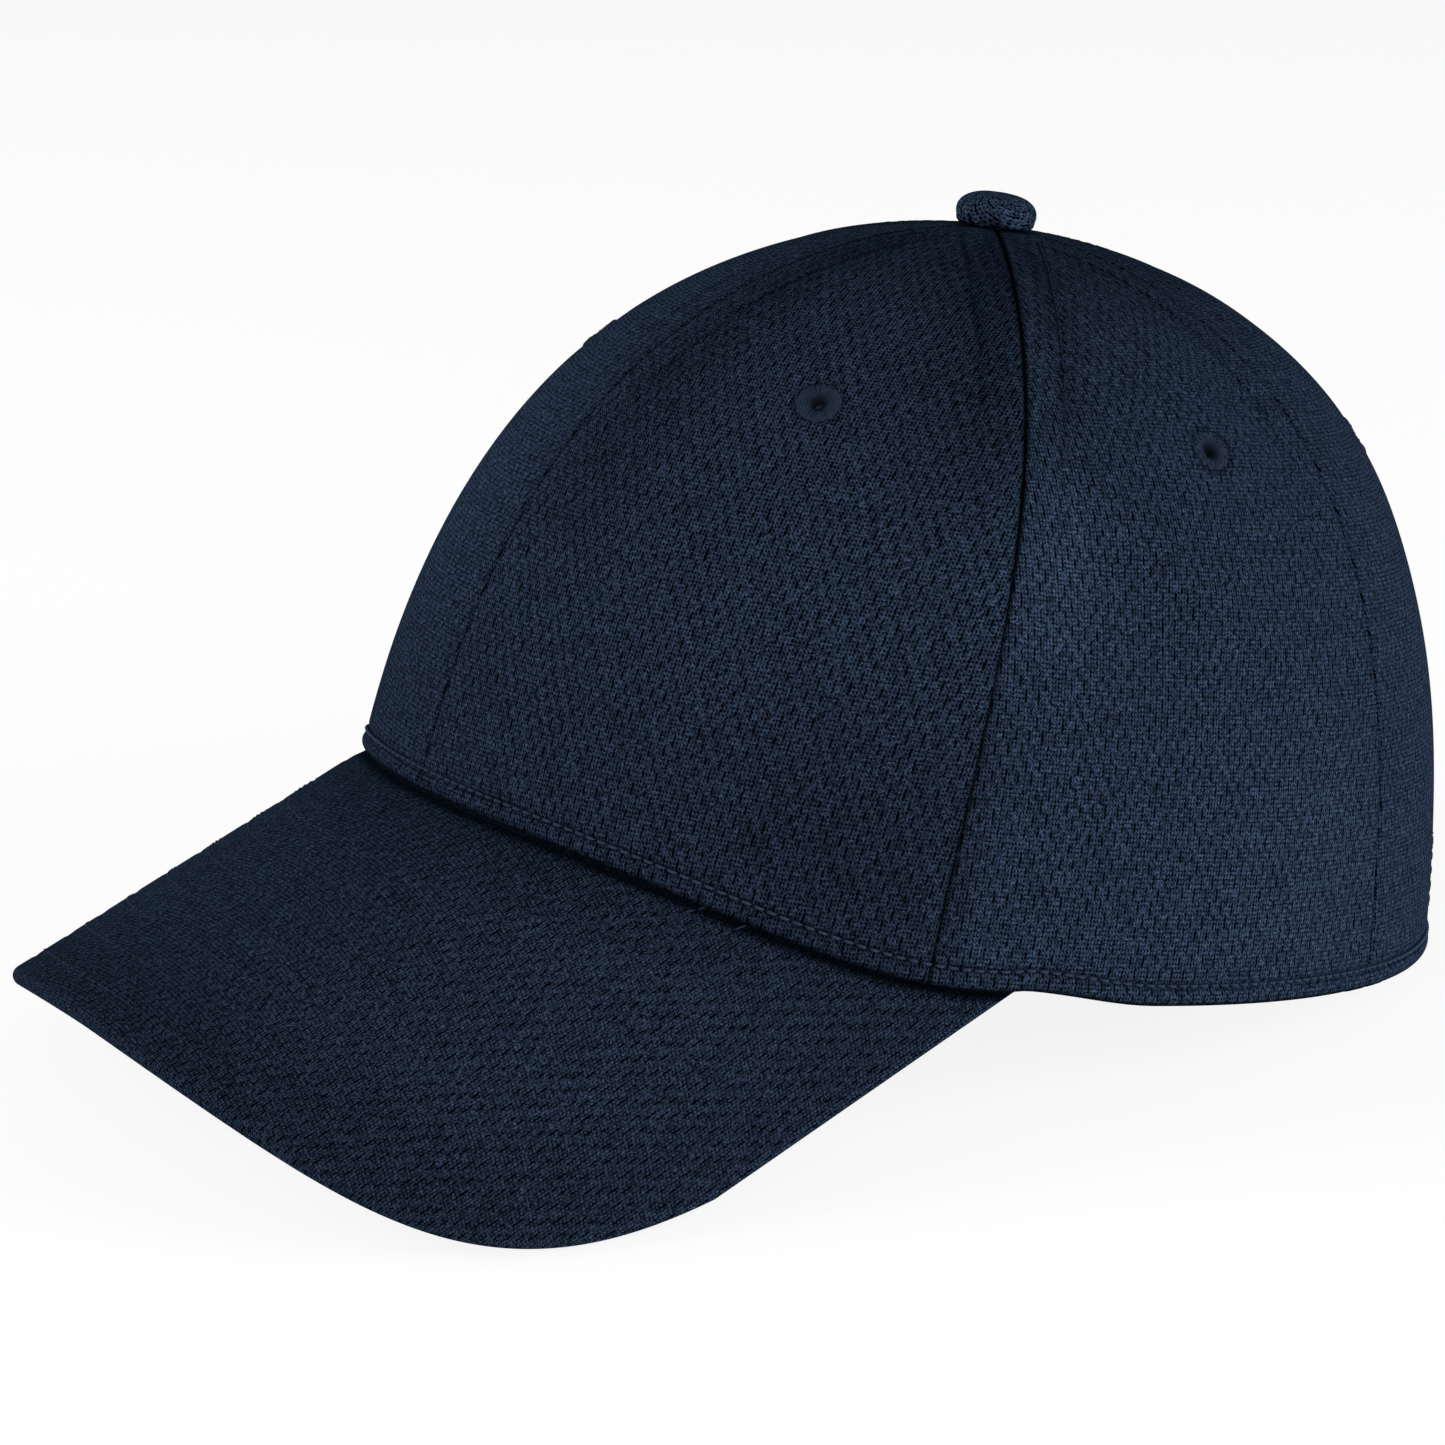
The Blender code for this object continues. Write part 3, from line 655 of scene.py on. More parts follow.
def metal_look():
    """Plain stamped metal with faint turning marks and handling wear."""
    look = Look("stamped_metal", roughness=0.35, metallic=1.0)
    look.follow_object()
    wear = look.noise(500.0, 3.0)
    look.colour((0.42, 0.42, 0.43), (0.64, 0.64, 0.65), wear)
    look.relief(look.noise(2500.0, 2.0, (1.0, 1.0, 0.2)), 0.03 * MM, 0.5)
    look.roughness(0.28, 0.5, wear)
    return look.material


def board_look():
    """Moulded polyethylene sheet with a fine pebbled face."""
    look = Look("visor_board_plastic", roughness=0.5)
    look.follow_object()
    pebble = look.noise(1500.0, 2.0)
    look.colour((0.66, 0.66, 0.64), (0.82, 0.82, 0.80), look.noise(80.0, 3.0))
    look.relief(pebble, 0.05 * MM, 0.6)
    look.roughness(0.42, 0.6, pebble)
    return look.material


KNIT = knit_look("mesh_knit")
VISOR_KNIT = knit_look("visor_knit", tinted(NAVY, 0.95), slits=0.42)
STRAP_KNIT = knit_look("strap_knit")
THREAD = thread_look("navy_thread", THREAD_NAVY)
# The hem thread is a lighter copy of the navy thread: painted highlight on the hem stitches.
HEM_THREAD = thread_look("hem_thread", tinted(THREAD_NAVY, 1.7))
EYELET_THREAD = thread_look("eyelet_thread", tinted(THREAD_NAVY, 1.2))
BAND = woven_look("sweatband_jersey", LINING_NAVY, 0.8 * MM, roughness=0.7, sheen=0.1, specular=0.1)
TAPE = woven_look(
    "seam_tape_weave", LINING_NAVY, 0.5 * MM, ribs=3.0, roughness=0.6, sheen=0.05, specular=0.2
)
LABEL = woven_look("label_satin", (0.72, 0.72, 0.70), 0.35 * MM, 0.05 * MM, 4.0, roughness=0.45)
BUCKRAM = buckram_look()
LOOP_PILE = pile_look("loop_pile", LINING_NAVY, 1500.0)
HOOK_PILE = pile_look("hook_pile", tinted(LINING_NAVY, 1.2), 2600.0)
METAL = metal_look()
BOARD = board_look()


# ---- crown


def soft_waves(angle, rise):
    """Gentle waves that unlined cloth holds, small on the stiffened front."""
    turn = np.radians(angle)
    wave = 0.5 * np.sin(5.0 * turn + 3.0 * rise + 0.4)
    wave = wave + 0.3 * np.sin(9.0 * turn - 6.0 * rise + 2.1)
    wave = wave + 0.2 * np.sin(14.0 * turn + 9.0 * rise + 4.0)
    lined = smooth(np.abs(signed(angle)), 55.0, 80.0)
    held = smooth(rise, 0.03, 0.25) * smooth(rise, 1.45, 1.1)
    return wave * held * (0.12 + 0.5 * lined) * MM


def side_fold(angle, rise):
    """A soft fold that runs down and back across each side panel."""
    across = (np.abs(signed(angle)) - 82.0) / 29.0
    line = 0.59 - 0.28 * across
    along = smooth(across, -0.5, 0.0) * smooth(across, 1.4, 0.9)
    ridge = bump(rise, line, 0.07) - 0.7 * bump(rise, line - 0.13, 0.09)
    return -0.75 * MM * ridge * along


def panel_relief(angle, rise, seam, edge, run):
    """Depth of a panel's outside below the plain crown: rolled edges, hem, seam and puckers."""
    front = bump(signed(angle), 0.0, 12.0)
    depth = rolled(seam, SEAM_ROLL) * (1.0 - 0.5 * front) + rolled(edge, HEM_ROLL)
    pressed = 1.0 - smooth(seam, ALLOWANCE - 0.6 * MM, ALLOWANCE + 0.9 * MM)
    depth = depth - 0.22 * MM * pressed
    depth = depth + 0.12 * MM * bump(seam, ALLOWANCE + 0.6 * MM, 0.5 * MM)
    depth = depth + 0.38 * MM * bump(edge, HEM_STITCH, 0.6 * MM)
    depth = depth - 0.45 * MM * bump(edge, HEM_STITCH * 0.5, 1.2 * MM)
    pucker = np.sin(run * 2.0 * math.pi / (3.1 * MM) + 2.0 * np.sin(run * 160.0))
    depth = depth + 0.07 * MM * pucker * bump(seam, 1.8 * MM, 1.5 * MM)
    return depth + soft_waves(angle, rise) + side_fold(angle, rise)


def seam_shade(angle, rise):
    """How much painted shade a seam's fold gets: deep beside the front panels' upper edges, faint
    elsewhere.
    """
    beside = bump(np.abs(signed(angle)), PANEL_ANGLE + 2.0, 15.0)
    return 0.45 + 0.55 * beside * smooth(rise, 0.35, 0.65)


def painted_light_and_shade(angle, rise):
    """Painted shade (above 0) and painted highlight (below 0) on the panels, the same on both sides of the
    cap.
    """
    turn = np.abs(signed(angle))
    front = smooth(turn, PANEL_ANGLE + 4.5, PANEL_ANGLE + 2.0)
    dark = 0.35 * bump(turn, PANEL_ANGLE, 16.0) * front * smooth(rise, 0.4, 0.9)
    dark = dark + 0.25 * bump(signed(angle), 9.0, 8.0) * smooth(rise, 0.3, 0.6)
    dark = dark + 0.22 * bump(turn, 72.0, 4.0) * smooth(rise, 0.65, 0.9)
    dark = dark + 0.15 * bump(rise, 0.12, 0.2) * front
    dark = dark + 0.20 * bump(turn, 50.0, 14.0) * bump(rise, 0.10, 0.22) * front
    dark = dark + 0.25 * smooth(rise, 0.95, 1.3)
    bright = 0.5 * bump(turn, 69.0, 6.0) * bump(rise, 0.53, 0.16)
    bright = bright + 0.15 * bump(turn, 105.0, 15.0) * bump(rise, 0.12, 0.15)
    bright = bright + 0.20 * bump(signed(angle), -14.0, 10.0) * smooth(rise, 0.2, 0.5)
    return dark - bright


# Distances of a panel's closest columns from its seams, and of its closest rows from its lower edge
COLUMNS_NEAR = np.array([
    0, 0.12, 0.25, 0.4, 0.6, 0.8, 1.05, 1.4, 1.8, 2.3,
    2.9, 3.6, 4.4, 5.2, 5.9, 6.5, 7.1, 7.8, 9.0,
]) * MM
ROWS_NEAR = np.array([
    0, 0.1, 0.22, 0.38, 0.58, 0.8, 1.05, 1.35, 1.7, 2.1, 2.5,
    2.85, 3.15, 3.4, 3.6, 3.8, 4.05, 4.35, 4.8, 5.4, 6.2, 7.2,
]) * MM


def panel_shares(first):
    """Where a panel's columns lie between its seams, close together at seams and at the arch."""
    width = math.radians(PANEL_ANGLE) * HEM_HALF_LENGTH
    near = COLUMNS_NEAR / width
    middle = np.linspace(near[-1], 1.0 - near[-1], 58)
    shares = np.concatenate([near, middle[1:-1], 1.0 - near[::-1]])
    if first not in (120.0, 180.0):
        return shares
    foot = (PANEL_ANGLE - ARCH_HALF_ANGLE) / PANEL_ANGLE
    turns = np.radians(np.arange(0.0, 60.0, 2.5))
    over = 1.0 - (1.0 - foot) * np.cos(turns)
    plain = shares[shares < foot - 0.002]
    rest = shares[shares > over[-1] + 0.004]
    made = np.concatenate([plain, over, rest])
    return made if first == 120.0 else 1.0 - made[::-1]


def edge_line(first):
    """The lower edge of a panel as a fine polyline."""
    last = first + PANEL_ANGLE
    angles = np.linspace(first, last, 241)
    if first in (120.0, 180.0):
        turns = np.radians(np.linspace(0.0, 90.0, 90))
        over = 180.0 - ARCH_HALF_ANGLE * np.cos(turns)
        over = over if first == 120.0 else 360.0 - over
        angles = np.sort(np.concatenate([angles, over]))
    rise = low_rise(angles)
    return crown(bowed(angles, rise), rise, 0.0)


def eyelet_centre(place):
    """The middle of a panel's eyelet on the crown and the way it faces."""
    row, side = place.split("_")
    angle = EYELET_ANGLES[row] if side == "left" else 360.0 - EYELET_ANGLES[row]
    rise = rise_at_height(EYELET_HEIGHT)
    return crown(angle, rise, 0.0), -inward(np.array(angle), rise)


def all_left_out(keep):
    """Grid points whose four faces are all left out."""
    return ~(keep[:-1, :-1] | keep[1:, :-1] | keep[:-1, 1:] | keep[1:, 1:])


def open_eyelet(outer, inner, centre, axis):
    """Takes the vent hole out of a panel's grids and draws its rim to a circle."""
    offset = outer - centre
    away = np.linalg.norm(offset - (offset @ axis)[..., None] * axis, axis=-1)
    near = np.abs(offset @ axis) < EYELET_REACH
    inside = (away < EYELET_HOLE) & near
    keep = ~(inside[:-1, :-1] & inside[1:, :-1] & inside[:-1, 1:] & inside[1:, 1:])
    rim = inside.copy()
    rim[1:-1, 1:-1] &= ~all_left_out(keep)
    for grid in (outer, inner):
        flat = grid[rim] - centre
        along = flat @ axis
        radial = flat - along[:, None] * axis
        grid[rim] = centre + along[:, None] * axis + unit(radial) * EYELET_HOLE
    return keep


def panel_back(first, depth, edge):
    """Depth of a panel's inside. The side and rear panels are turned up double along the hem."""
    turned_up = 0.0 if first in (0.0, 300.0) else HEM_FOLD
    thick = KNIT_THICK + turned_up * smooth(edge, 9.0 * MM, 7.5 * MM)
    back = np.minimum(depth + thick, np.maximum(depth + 0.2 * MM, 2.5 * MM))
    return np.maximum(np.minimum(back, thick + 0.3 * MM), depth + 0.12 * MM)


def panel_shade(angle, rise, seam, edge):
    """Painted shade in the seams, along the hem and along their stitch lines."""
    return darkest(
        bump(seam, 0.0, 0.6 * MM) * seam_shade(angle, rise),
        bump(edge, 0.0, 0.9 * MM),
        0.6 * bump(edge, HEM_STITCH, 0.5 * MM),
        0.5 * bump(seam, ALLOWANCE + 0.5 * MM, 0.5 * MM) * smooth(rise, 0.6, 0.9),
    )


def add_panel(place, first):
    middle = first + PANEL_ANGLE / 2
    shares = panel_shares(first)
    angles = first + PANEL_ANGLE * shares
    low = low_rise(angles)
    rise = climb(angles, low, rise_at_radius(angles, TIP_RADIUS), ROWS_NEAR, 170)
    radius = from_axis(outside(np.broadcast_to(angles, rise.shape), rise))
    width = radius * math.radians(PANEL_ANGLE)
    drawn_out = 1.0 + SEAM_PRESS / width
    bent = bowed(middle + (angles[None, :] - middle) * drawn_out, rise)
    seam = np.minimum(shares, 1.0 - shares)[None, :] * width
    edge = distance_to(crown(bent, rise, 0.0), edge_line(first))
    centre = climb(np.array([middle]), np.array([0.001]), np.array([1.56]), np.array([0.0]), 400)[:, 0]
    run = np.interp(rise, centre, path_length(outside(np.full_like(centre, middle), centre)))
    depth = panel_relief(bent, rise, seam, edge, run)
    at, axis = eyelet_centre(place)
    reach = np.linalg.norm(crown(bent, rise, 0.0) - at, axis=-1)
    depth = depth + 0.2 * MM * bump(reach, 0.0, 4.6 * MM)
    outer = crown(bent, rise, depth)
    inner = crown(bent, rise, panel_back(first, depth, edge))
    keep = open_eyelet(outer, inner, at, axis)
    coords = np.stack([(angles - middle)[None, :] * np.radians(radius), run], -1)
    # Painted shade round each eyelet's rim and under the button.
    shade_round_eyelet = 0.6 * bump(reach, 4.0 * MM, 0.5 * MM)
    shade_under_button = 0.9 * (1.0 - smooth(radius, 5.0 * MM, 8.5 * MM))
    hollow = darkest(panel_shade(bent, rise, seam, edge), shade_round_eyelet, shade_under_button)
    # Adds painted shade and painted highlight across the panels.
    hollow = hollow + (1.0 - hollow) * painted_light_and_shade(bent, rise)
    settings = {"keep": keep, "hollow": hollow, "nodes": ["panel_" + place]}
    add_plate(f"panel_{place}_knit", outer, inner, coords, KNIT, "mesh_knit", **settings)


# ---- stitching on the crown


def sink(angle, rise):
    """How deep the soft cloth lies where a row of stitches crosses it."""
    return soft_waves(angle, rise) + side_fold(angle, rise)


def row_on_crown(angle, rise, depth):
    """Path and facing of a stitch row on the outside of the cloth."""
    return crown(angle, rise, depth + sink(angle, rise)), -inward(angle, rise)


def row_above_edge(angles, distance, depth):
    """A stitch row at a distance up from the lower edge."""
    low = low_rise(angles)
    rise = climb(angles, low, low + 0.5, np.array([0.0, distance]), 1)[1]
    return row_on_crown(bowed(angles, rise), rise, depth)


def row_beside_seam(seam, distance, depth, start=0.004):
    """A stitch row beside a seam, which may be to either side of it."""
    angle = np.array([seam])
    low = low_rise(angle)
    rises = climb(angle, low, rise_at_radius(angle, SEAM_STITCH_END), np.array([0.0, start]), 160)[1:, 0]
    radius = from_axis(outside(np.full_like(rises, seam), rises))
    bent = bowed(np.full_like(rises, seam), rises) + np.degrees(distance / radius)
    return row_on_crown(bent, rises, depth)


def row_round_arch(distance, depth, foot):
    """A stitch row that follows the back opening."""
    wide = math.radians(ARCH_HALF_ANGLE) * HEM_HALF_LENGTH + distance
    tall = ARCH_HEIGHT + distance
    start = math.asin(foot / tall)
    t = np.linspace(start, math.pi - start, 160)
    angle = 180.0 - np.degrees(wide / HEM_HALF_LENGTH) * np.cos(t)
    return row_on_crown(angle, rise_at_height(tall * np.sin(t)), depth)


def box_corners(middle):
    """A sewn box and its cross, as (angle, height) corners, where a strap is stitched down."""
    low, high = STRAP_BOX_LOW, STRAP_BOX_HIGH
    left, right = middle - STRAP_BOX_HALF, middle + STRAP_BOX_HALF
    box = [(left, low), (right, low), (right, high), (left, high), (left, low)]
    return [box, [(left, low), (right, high)], [(left, high), (right, low)]]


def row_through(corners, depth):
    rows = []
    for (angle_a, height_a), (angle_b, height_b) in zip(corners[:-1], corners[1:]):
        angle = np.linspace(angle_a, angle_b, 20)
        rise = rise_at_height(np.linspace(height_a, height_b, 20))
        rows.append(stitch_mesh(*row_on_crown(angle, rise, depth), radius=FINE_THREAD_RADIUS))
    return rows


def add_crown_stitches():
    hem = np.linspace(-HEM_STITCH_END, HEM_STITCH_END, 700)
    path = row_above_edge(hem, HEM_STITCH, 0.02 * MM)
    rows = [stitch_mesh(*path, radius=HEM_THREAD_RADIUS, proud=0.9)]
    add_stitches("hem_stitches", rows, HEM_THREAD)
    for place, seam in (("front", 0.0), ("back", 180.0)):
        paths = [row_beside_seam(seam, side * SEAM_STITCH, -0.02 * MM) for side in (-1.0, 1.0)]
        add_stitches(f"center_{place}_stitches", [stitch_mesh(*path) for path in paths], THREAD)
    rows = []
    for seam in (60.0, 120.0, 240.0, 300.0):
        behind = math.copysign(ALLOWANCE + 0.4 * MM, 180.0 - seam)
        path = row_beside_seam(seam, behind, 0.04 * MM, 0.006)
        rows.append(stitch_mesh(*path, radius=FINE_THREAD_RADIUS))
    add_stitches("seam_tape_stitches", rows, THREAD)
    add_stitches("arch_stitches", [stitch_mesh(*row_round_arch(*row)) for row in ARCH_STITCHES], THREAD)
    rows = []
    for middle in STRAP_BOXES:
        for corners in box_corners(middle):
            rows += row_through(corners, 0.03 * MM)
    add_stitches("strap_box_stitches", rows, THREAD)


# ---- eyelets and button


def add_turned(name, profile, sides, at, axis, looks, slot, nodes, wobble, shade):
    """A closed ring profile of (radius, height) turned about an axis, made uneven by wobble."""
    axis = unit(np.asarray(axis, float))
    right = unit(np.cross(axis, [0.0, 1.0, 0.0]))
    ahead = np.cross(axis, right)
    turns = np.arange(sides) * 2.0 * math.pi / sides
    radii, heights = np.asarray(profile, float).T
    radii = np.broadcast_to(radii[:, None], (len(radii), sides)).copy()
    heights = np.broadcast_to(heights[:, None], radii.shape).copy()
    hollow = shade(radii, heights).ravel()
    radii, heights = wobble(radii, heights, turns)
    flat = np.cos(turns)[None, :, None] * right + np.sin(turns)[None, :, None] * ahead
    points = at + flat * radii[..., None] + heights[..., None] * axis
    run = path_length(np.stack([radii[:, 0], heights[:, 0], heights[:, 0] * 0], -1))
    coords = np.stack([np.cos(turns) * run[:, None], np.sin(turns) * run[:, None]], -1)
    faces = ring_faces(len(radii), sides, True)
    settings = {"nodes": nodes, "hollow": hollow}
    return add_piece(name, points.reshape(-1, 3), faces, coords.reshape(-1, 2), looks, slot, **settings)


EYELET_THREADS = 46
# The ring's section as (radius, height): up the hole from behind, over the top and round the rim
EYELET_PROFILE = np.array([
    (1.2, -2.5), (0.85, -1.8), (0.75, -1.3), (0.9, -0.8), (1.3, -0.35),
    (1.85, 0.02), (2.6, 0.2), (3.2, 0.2), (3.65, 0.06), (3.92, -0.15),
    (4.0, -0.45), (3.6, -0.8), (2.35, -0.85), (2.15, -1.6), (1.95, -2.5),
]) * MM


def add_eyelet(place, seed):
    """A ring of satin stitches worked round the vent hole."""
    draw = np.random.default_rng(seed)
    uneven = np.repeat(draw.normal(0.0, 0.10 * MM, EYELET_THREADS), 6)
    lean = np.repeat(draw.normal(0.0, 0.06 * MM, EYELET_THREADS), 6)

    def wobble(radii, heights, turns):
        top = smooth(heights, -0.7 * MM, 0.2 * MM)
        rib = np.abs(np.sin(turns * EYELET_THREADS / 2.0)) ** 0.6
        rim = smooth(radii, 3.2 * MM, 3.9 * MM)
        return radii + rim * uneven, heights + top * ((rib - 1.0) * 0.22 * MM + lean)

    def shade(radii, heights):
        # Painted shade in the vent hole and on the ring's outer edge.
        rim = 0.6 * smooth(radii, 3.6 * MM, 4.0 * MM)
        return np.maximum(1.0 - smooth(radii, 0.95 * MM, 2.2 * MM), rim)

    at, axis = eyelet_centre(place)
    looks = (EYELET_THREAD, "eyelet_thread", ["eyelet_" + place])
    add_turned(f"eyelet_{place}_thread", EYELET_PROFILE, len(lean), at, axis, *looks, wobble, shade)


def button_profile(shrink):
    """The covered button's outline from its neck to its flattened top, drawn in by a distance.

    The sizes are in millimetres over the crown's apex.
    """
    wide, low, waist, rise = 7.1, -0.1, 2.6, 3.75
    under = [(4.4, low + 0.1), (5.4, low), (6.2, low + 0.35), (6.75, low + 1.0)]
    turns = np.radians(np.linspace(0.0, 90.0, 26))
    dome = [(wide * math.cos(t) ** 0.8, low + waist + rise * math.sin(t) ** 0.85) for t in turns]
    outline = np.array(under + dome) * MM
    flow = unit(np.gradient(outline, axis=0))
    return outline + np.stack([-flow[:, 1], flow[:, 0]], -1) * shrink


def add_button():
    """The button's cloth, gathered in small folds at its neck."""
    outer, inner = button_profile(0.0), button_profile(0.55 * MM)
    outer[-1, 0] = inner[-1, 0] = 0.05 * MM
    profile = np.concatenate([outer, inner[::-1]])
    apex = np.array([0.0, APEX_SET_BACK, CROWN_HEIGHT])

    def wobble(radii, heights, turns):
        tuck = smooth(heights, 2.8 * MM, 0.4 * MM) * smooth(radii, 4.0 * MM, 5.0 * MM)
        folds = np.sin(turns * 13.0 + 0.6 * np.sin(turns * 3.0))
        waves = np.sin(turns * 5.0) * smooth(radii, 1.0 * MM, 5.0 * MM)
        return radii + tuck * folds * 0.09 * MM, heights + 0.05 * MM * waves

    def shade(radii, heights):
        # Painted shade at the neck and painted highlight (below 0) on the top.
        return 1.0 - 1.35 * smooth(heights, -0.1 * MM, 1.5 * MM)

    looks = (KNIT, "mesh_knit", ["button_cover"])
    add_turned("button_knit", profile, 120, apex, (0.0, 0.0, 1.0), *looks, wobble, shade)


# ---- visor

VISOR_REACH = 0.985
VISOR_ROW_SPACING = 6.6 * MM
VISOR_ROWS = 7
VISOR_STITCH_CLEAR = 3.5 * MM
# Distances of the closest grid lines from the rim
VISOR_NEAR = np.array([0, 0.08, 0.2, 0.36, 0.56, 0.8, 1.1, 1.45, 1.85, 2.3, 2.9, 3.6]) * MM


def visor_curves(count):
    """The visor's rim and its sewn edge as matching plan curves, evenly spaced along each."""
    corner = crown(VISOR_CORNER, 0.0, 0.0)
    tip = -VISOR_START - VISOR_LENGTH
    turns = np.radians(np.linspace(-90.0, 90.0, 1601))
    angles = VISOR_CORNER * VISOR_REACH * np.sin(turns)
    depth = VISOR_SEWN_DEPTH * (1.0 - np.abs(angles / VISOR_CORNER) ** 6)
    sewn = crown(angles, hem_rise(angles, depth), depth)[:, :2]
    share = np.maximum(1.0 - np.abs(sewn[:, 0] / corner[0]) ** VISOR_SIDE_POWER, 0.0)
    rim = np.stack([sewn[:, 0], corner[1] + (tip - corner[1]) * share ** (1.0 / VISOR_FRONT_POWER)], -1)
    curves = []
    for line in (rim, sewn):
        length = path_length(np.column_stack([line, np.zeros(len(line))]))
        even = np.linspace(0.0, 1.0, count)
        at = length[-1] * (even - 0.6 * np.sin(2.0 * math.pi * even) / (2.0 * math.pi))
        curves.append(np.stack([np.interp(at, length, line[:, i]) for i in (0, 1)], -1))
    return curves


def on_visor(plan, depth):
    x, y = plan[..., 0], plan[..., 1]
    top = np.stack([x, y, visor_height(x, y)], -1)
    return top + visor_down(x) * np.asarray(depth)[..., None]


def length_across(x):
    """Length along the visor's arch out to each x."""
    table = np.linspace(0.0, 0.1, 400)
    height = VISOR_ARCH_SQUARE * table**2 + VISOR_ARCH_FOURTH * table**4
    length = path_length(np.stack([table, height, table * 0.0], -1))
    return np.sign(x) * np.interp(np.abs(x), table, length)


def visor_lines(count):
    """Lines from the rim to the sewn edge: starts, spans, lengths and how square they are to the rim."""
    rim, sewn = visor_curves(count)
    across = sewn - rim
    length = np.linalg.norm(across, axis=1)
    flow = unit(np.gradient(rim, axis=0))
    lean = np.abs(flow[:, 0] * across[:, 1] - flow[:, 1] * across[:, 0]) / np.maximum(length, 1e-9)
    return rim, across, length, lean


def visor_grid():
    """Plan points from rim to sewn edge, with their distances from the edges and the crown."""
    rim, across, length, lean = visor_lines(361)
    reach = np.maximum(length * np.maximum(lean, 0.2), 1e-5)
    scale = np.minimum(1.0, 0.5 * reach / VISOR_NEAR[-1])
    first = VISOR_NEAR[:, None] * scale / reach
    rest = first[-1] + (1.0 - first[-1]) * np.linspace(0.0, 1.0, 96)[1:, None]
    shares = np.concatenate([first, rest])
    plan = rim + across * shares[..., None]
    points = on_visor(plan, 0.0)
    border = np.concatenate([points[::-1, 0], points[0], points[:, -1], points[-1, ::-1]])
    return plan, distance_to(points, border), distance_to(points, crown_line())


def crown_line():
    """Where the crown's lower edge meets the visor."""
    angles = np.linspace(-VISOR_CORNER, VISOR_CORNER, 241)
    return crown(angles, hem_rise(angles), 0.0)


def visor_row(row):
    """Distance of a stitched row from the rim."""
    return (row + 1) * VISOR_ROW_SPACING - 1.0 * MM


def stitch_grooves(distance):
    depth = np.zeros_like(distance)
    for row in range(VISOR_ROWS):
        depth = depth + 0.16 * MM * bump(distance, visor_row(row), 0.55 * MM)
    return depth


def add_visor():
    plan, distance, seam = visor_grid()
    half = VISOR_THICK / 2
    pucker = 0.04 * MM * np.sin(plan[..., 0] / (1.3 * MM)) * bump(distance, 2.5 * MM, 2.0 * MM)
    face = rolled(distance, half) * 0.96 + stitch_grooves(distance) + pucker
    face = face + 0.45 * MM * bump(seam, 0.0, 2.2 * MM)
    back = 0.62 * MM + rolled(np.maximum(distance - 0.6 * MM, 0.0), half - 0.62 * MM)
    back = np.minimum(np.maximum(back, face + 0.08 * MM), half - 0.03 * MM)
    face = np.minimum(face, back - 0.02 * MM)
    coords = np.stack([length_across(plan[..., 0]), (plan[..., 1] + 0.2) / math.cos(VISOR_PITCH)], -1)
    outward = unit(plan[0] - plan[-1] + 1e-9)
    coords = coords + outward * rolled(distance, half)[..., None]
    # Painted shade along the crown's edge and the rim, growing towards the rim and towards the crown.
    hollow = darkest(
        bump(seam, 0.0, 1.6 * MM),
        0.35 * bump(distance, 0.0, 0.8 * MM),
        0.20 * (1.0 - smooth(distance, 4.0 * MM, 26.0 * MM)),
        0.18 * (1.0 - smooth(seam, 4.0 * MM, 20.0 * MM)),
    )
    layers = {"top": (face, back), "under": (VISOR_THICK - face, VISOR_THICK - back)}
    for side, faces in layers.items():
        grids = [*(on_visor(plan, depth) for depth in faces), coords, hollow]
        outer, inner, cloth, shade = grids if side == "top" else [grid[:, ::-1] for grid in grids]
        settings = {"hollow": shade, "nodes": [f"visor_{side}_cover"]}
        add_plate(f"visor_{side}_knit", outer, inner, cloth, VISOR_KNIT, "visor_fabric", **settings)


def add_visor_stitches():
    """Rows that follow the rim, each cut off where it nears the crown."""
    rim, across, length, lean = visor_lines(641)
    for side, depth in (("top", 0.10 * MM), ("under", VISOR_THICK - 0.10 * MM)):
        rows = []
        for row in range(VISOR_ROWS):
            distance = visor_row(row)
            fits = length * lean > distance + 3.0 * MM
            plan = (rim + across * (distance / np.maximum(length * lean, 1e-9))[:, None])[fits]
            if len(plan) < 20:
                continue
            plan = plan[distance_to(on_visor(plan, 0.0), crown_line()) > VISOR_STITCH_CLEAR]
            path = on_visor(plan, depth)
            facing = visor_down(plan[:, 0]) * (-1.0 if side == "top" else 1.0)
            rows.append(stitch_mesh(path, facing, pitch=2.6 * MM, radius=0.17 * MM))
        add_stitches(f"visor_{side}_stitches", rows, THREAD, slot="visor_fabric")


# ---- linings


def add_lining(name, angle, rise, layer, coords, looks, slot, nodes, curl=0.35 * MM):
    """A band of cloth on the inside of the crown, its edges thinned and turned a little."""
    rows, columns = rise.shape
    down = np.minimum(np.arange(rows), np.arange(rows)[::-1])[:, None]
    side = np.minimum(np.arange(columns), np.arange(columns)[::-1])[None, :]
    thin = 1.0 - np.minimum(np.minimum(down, side) / 2.0, 1.0)
    outer_depth, inner_depth = [np.broadcast_to(face, rise.shape) for face in layer]
    squeeze = thin**2 * np.minimum(curl, (inner_depth - outer_depth) * 0.4)
    outer = crown(angle, rise, outer_depth + squeeze)
    inner = crown(angle, rise, inner_depth - squeeze)
    return add_plate(name, outer, inner, coords, looks, slot, nodes=nodes)


def edged(start, end, count, edge):
    """Evenly spaced values with two closer ones at each end."""
    step = math.copysign(edge, end - start)
    middle = np.linspace(start + step, end - step, count)
    return np.concatenate([[start, start + step * 0.4], middle, [end - step * 0.4, end]])


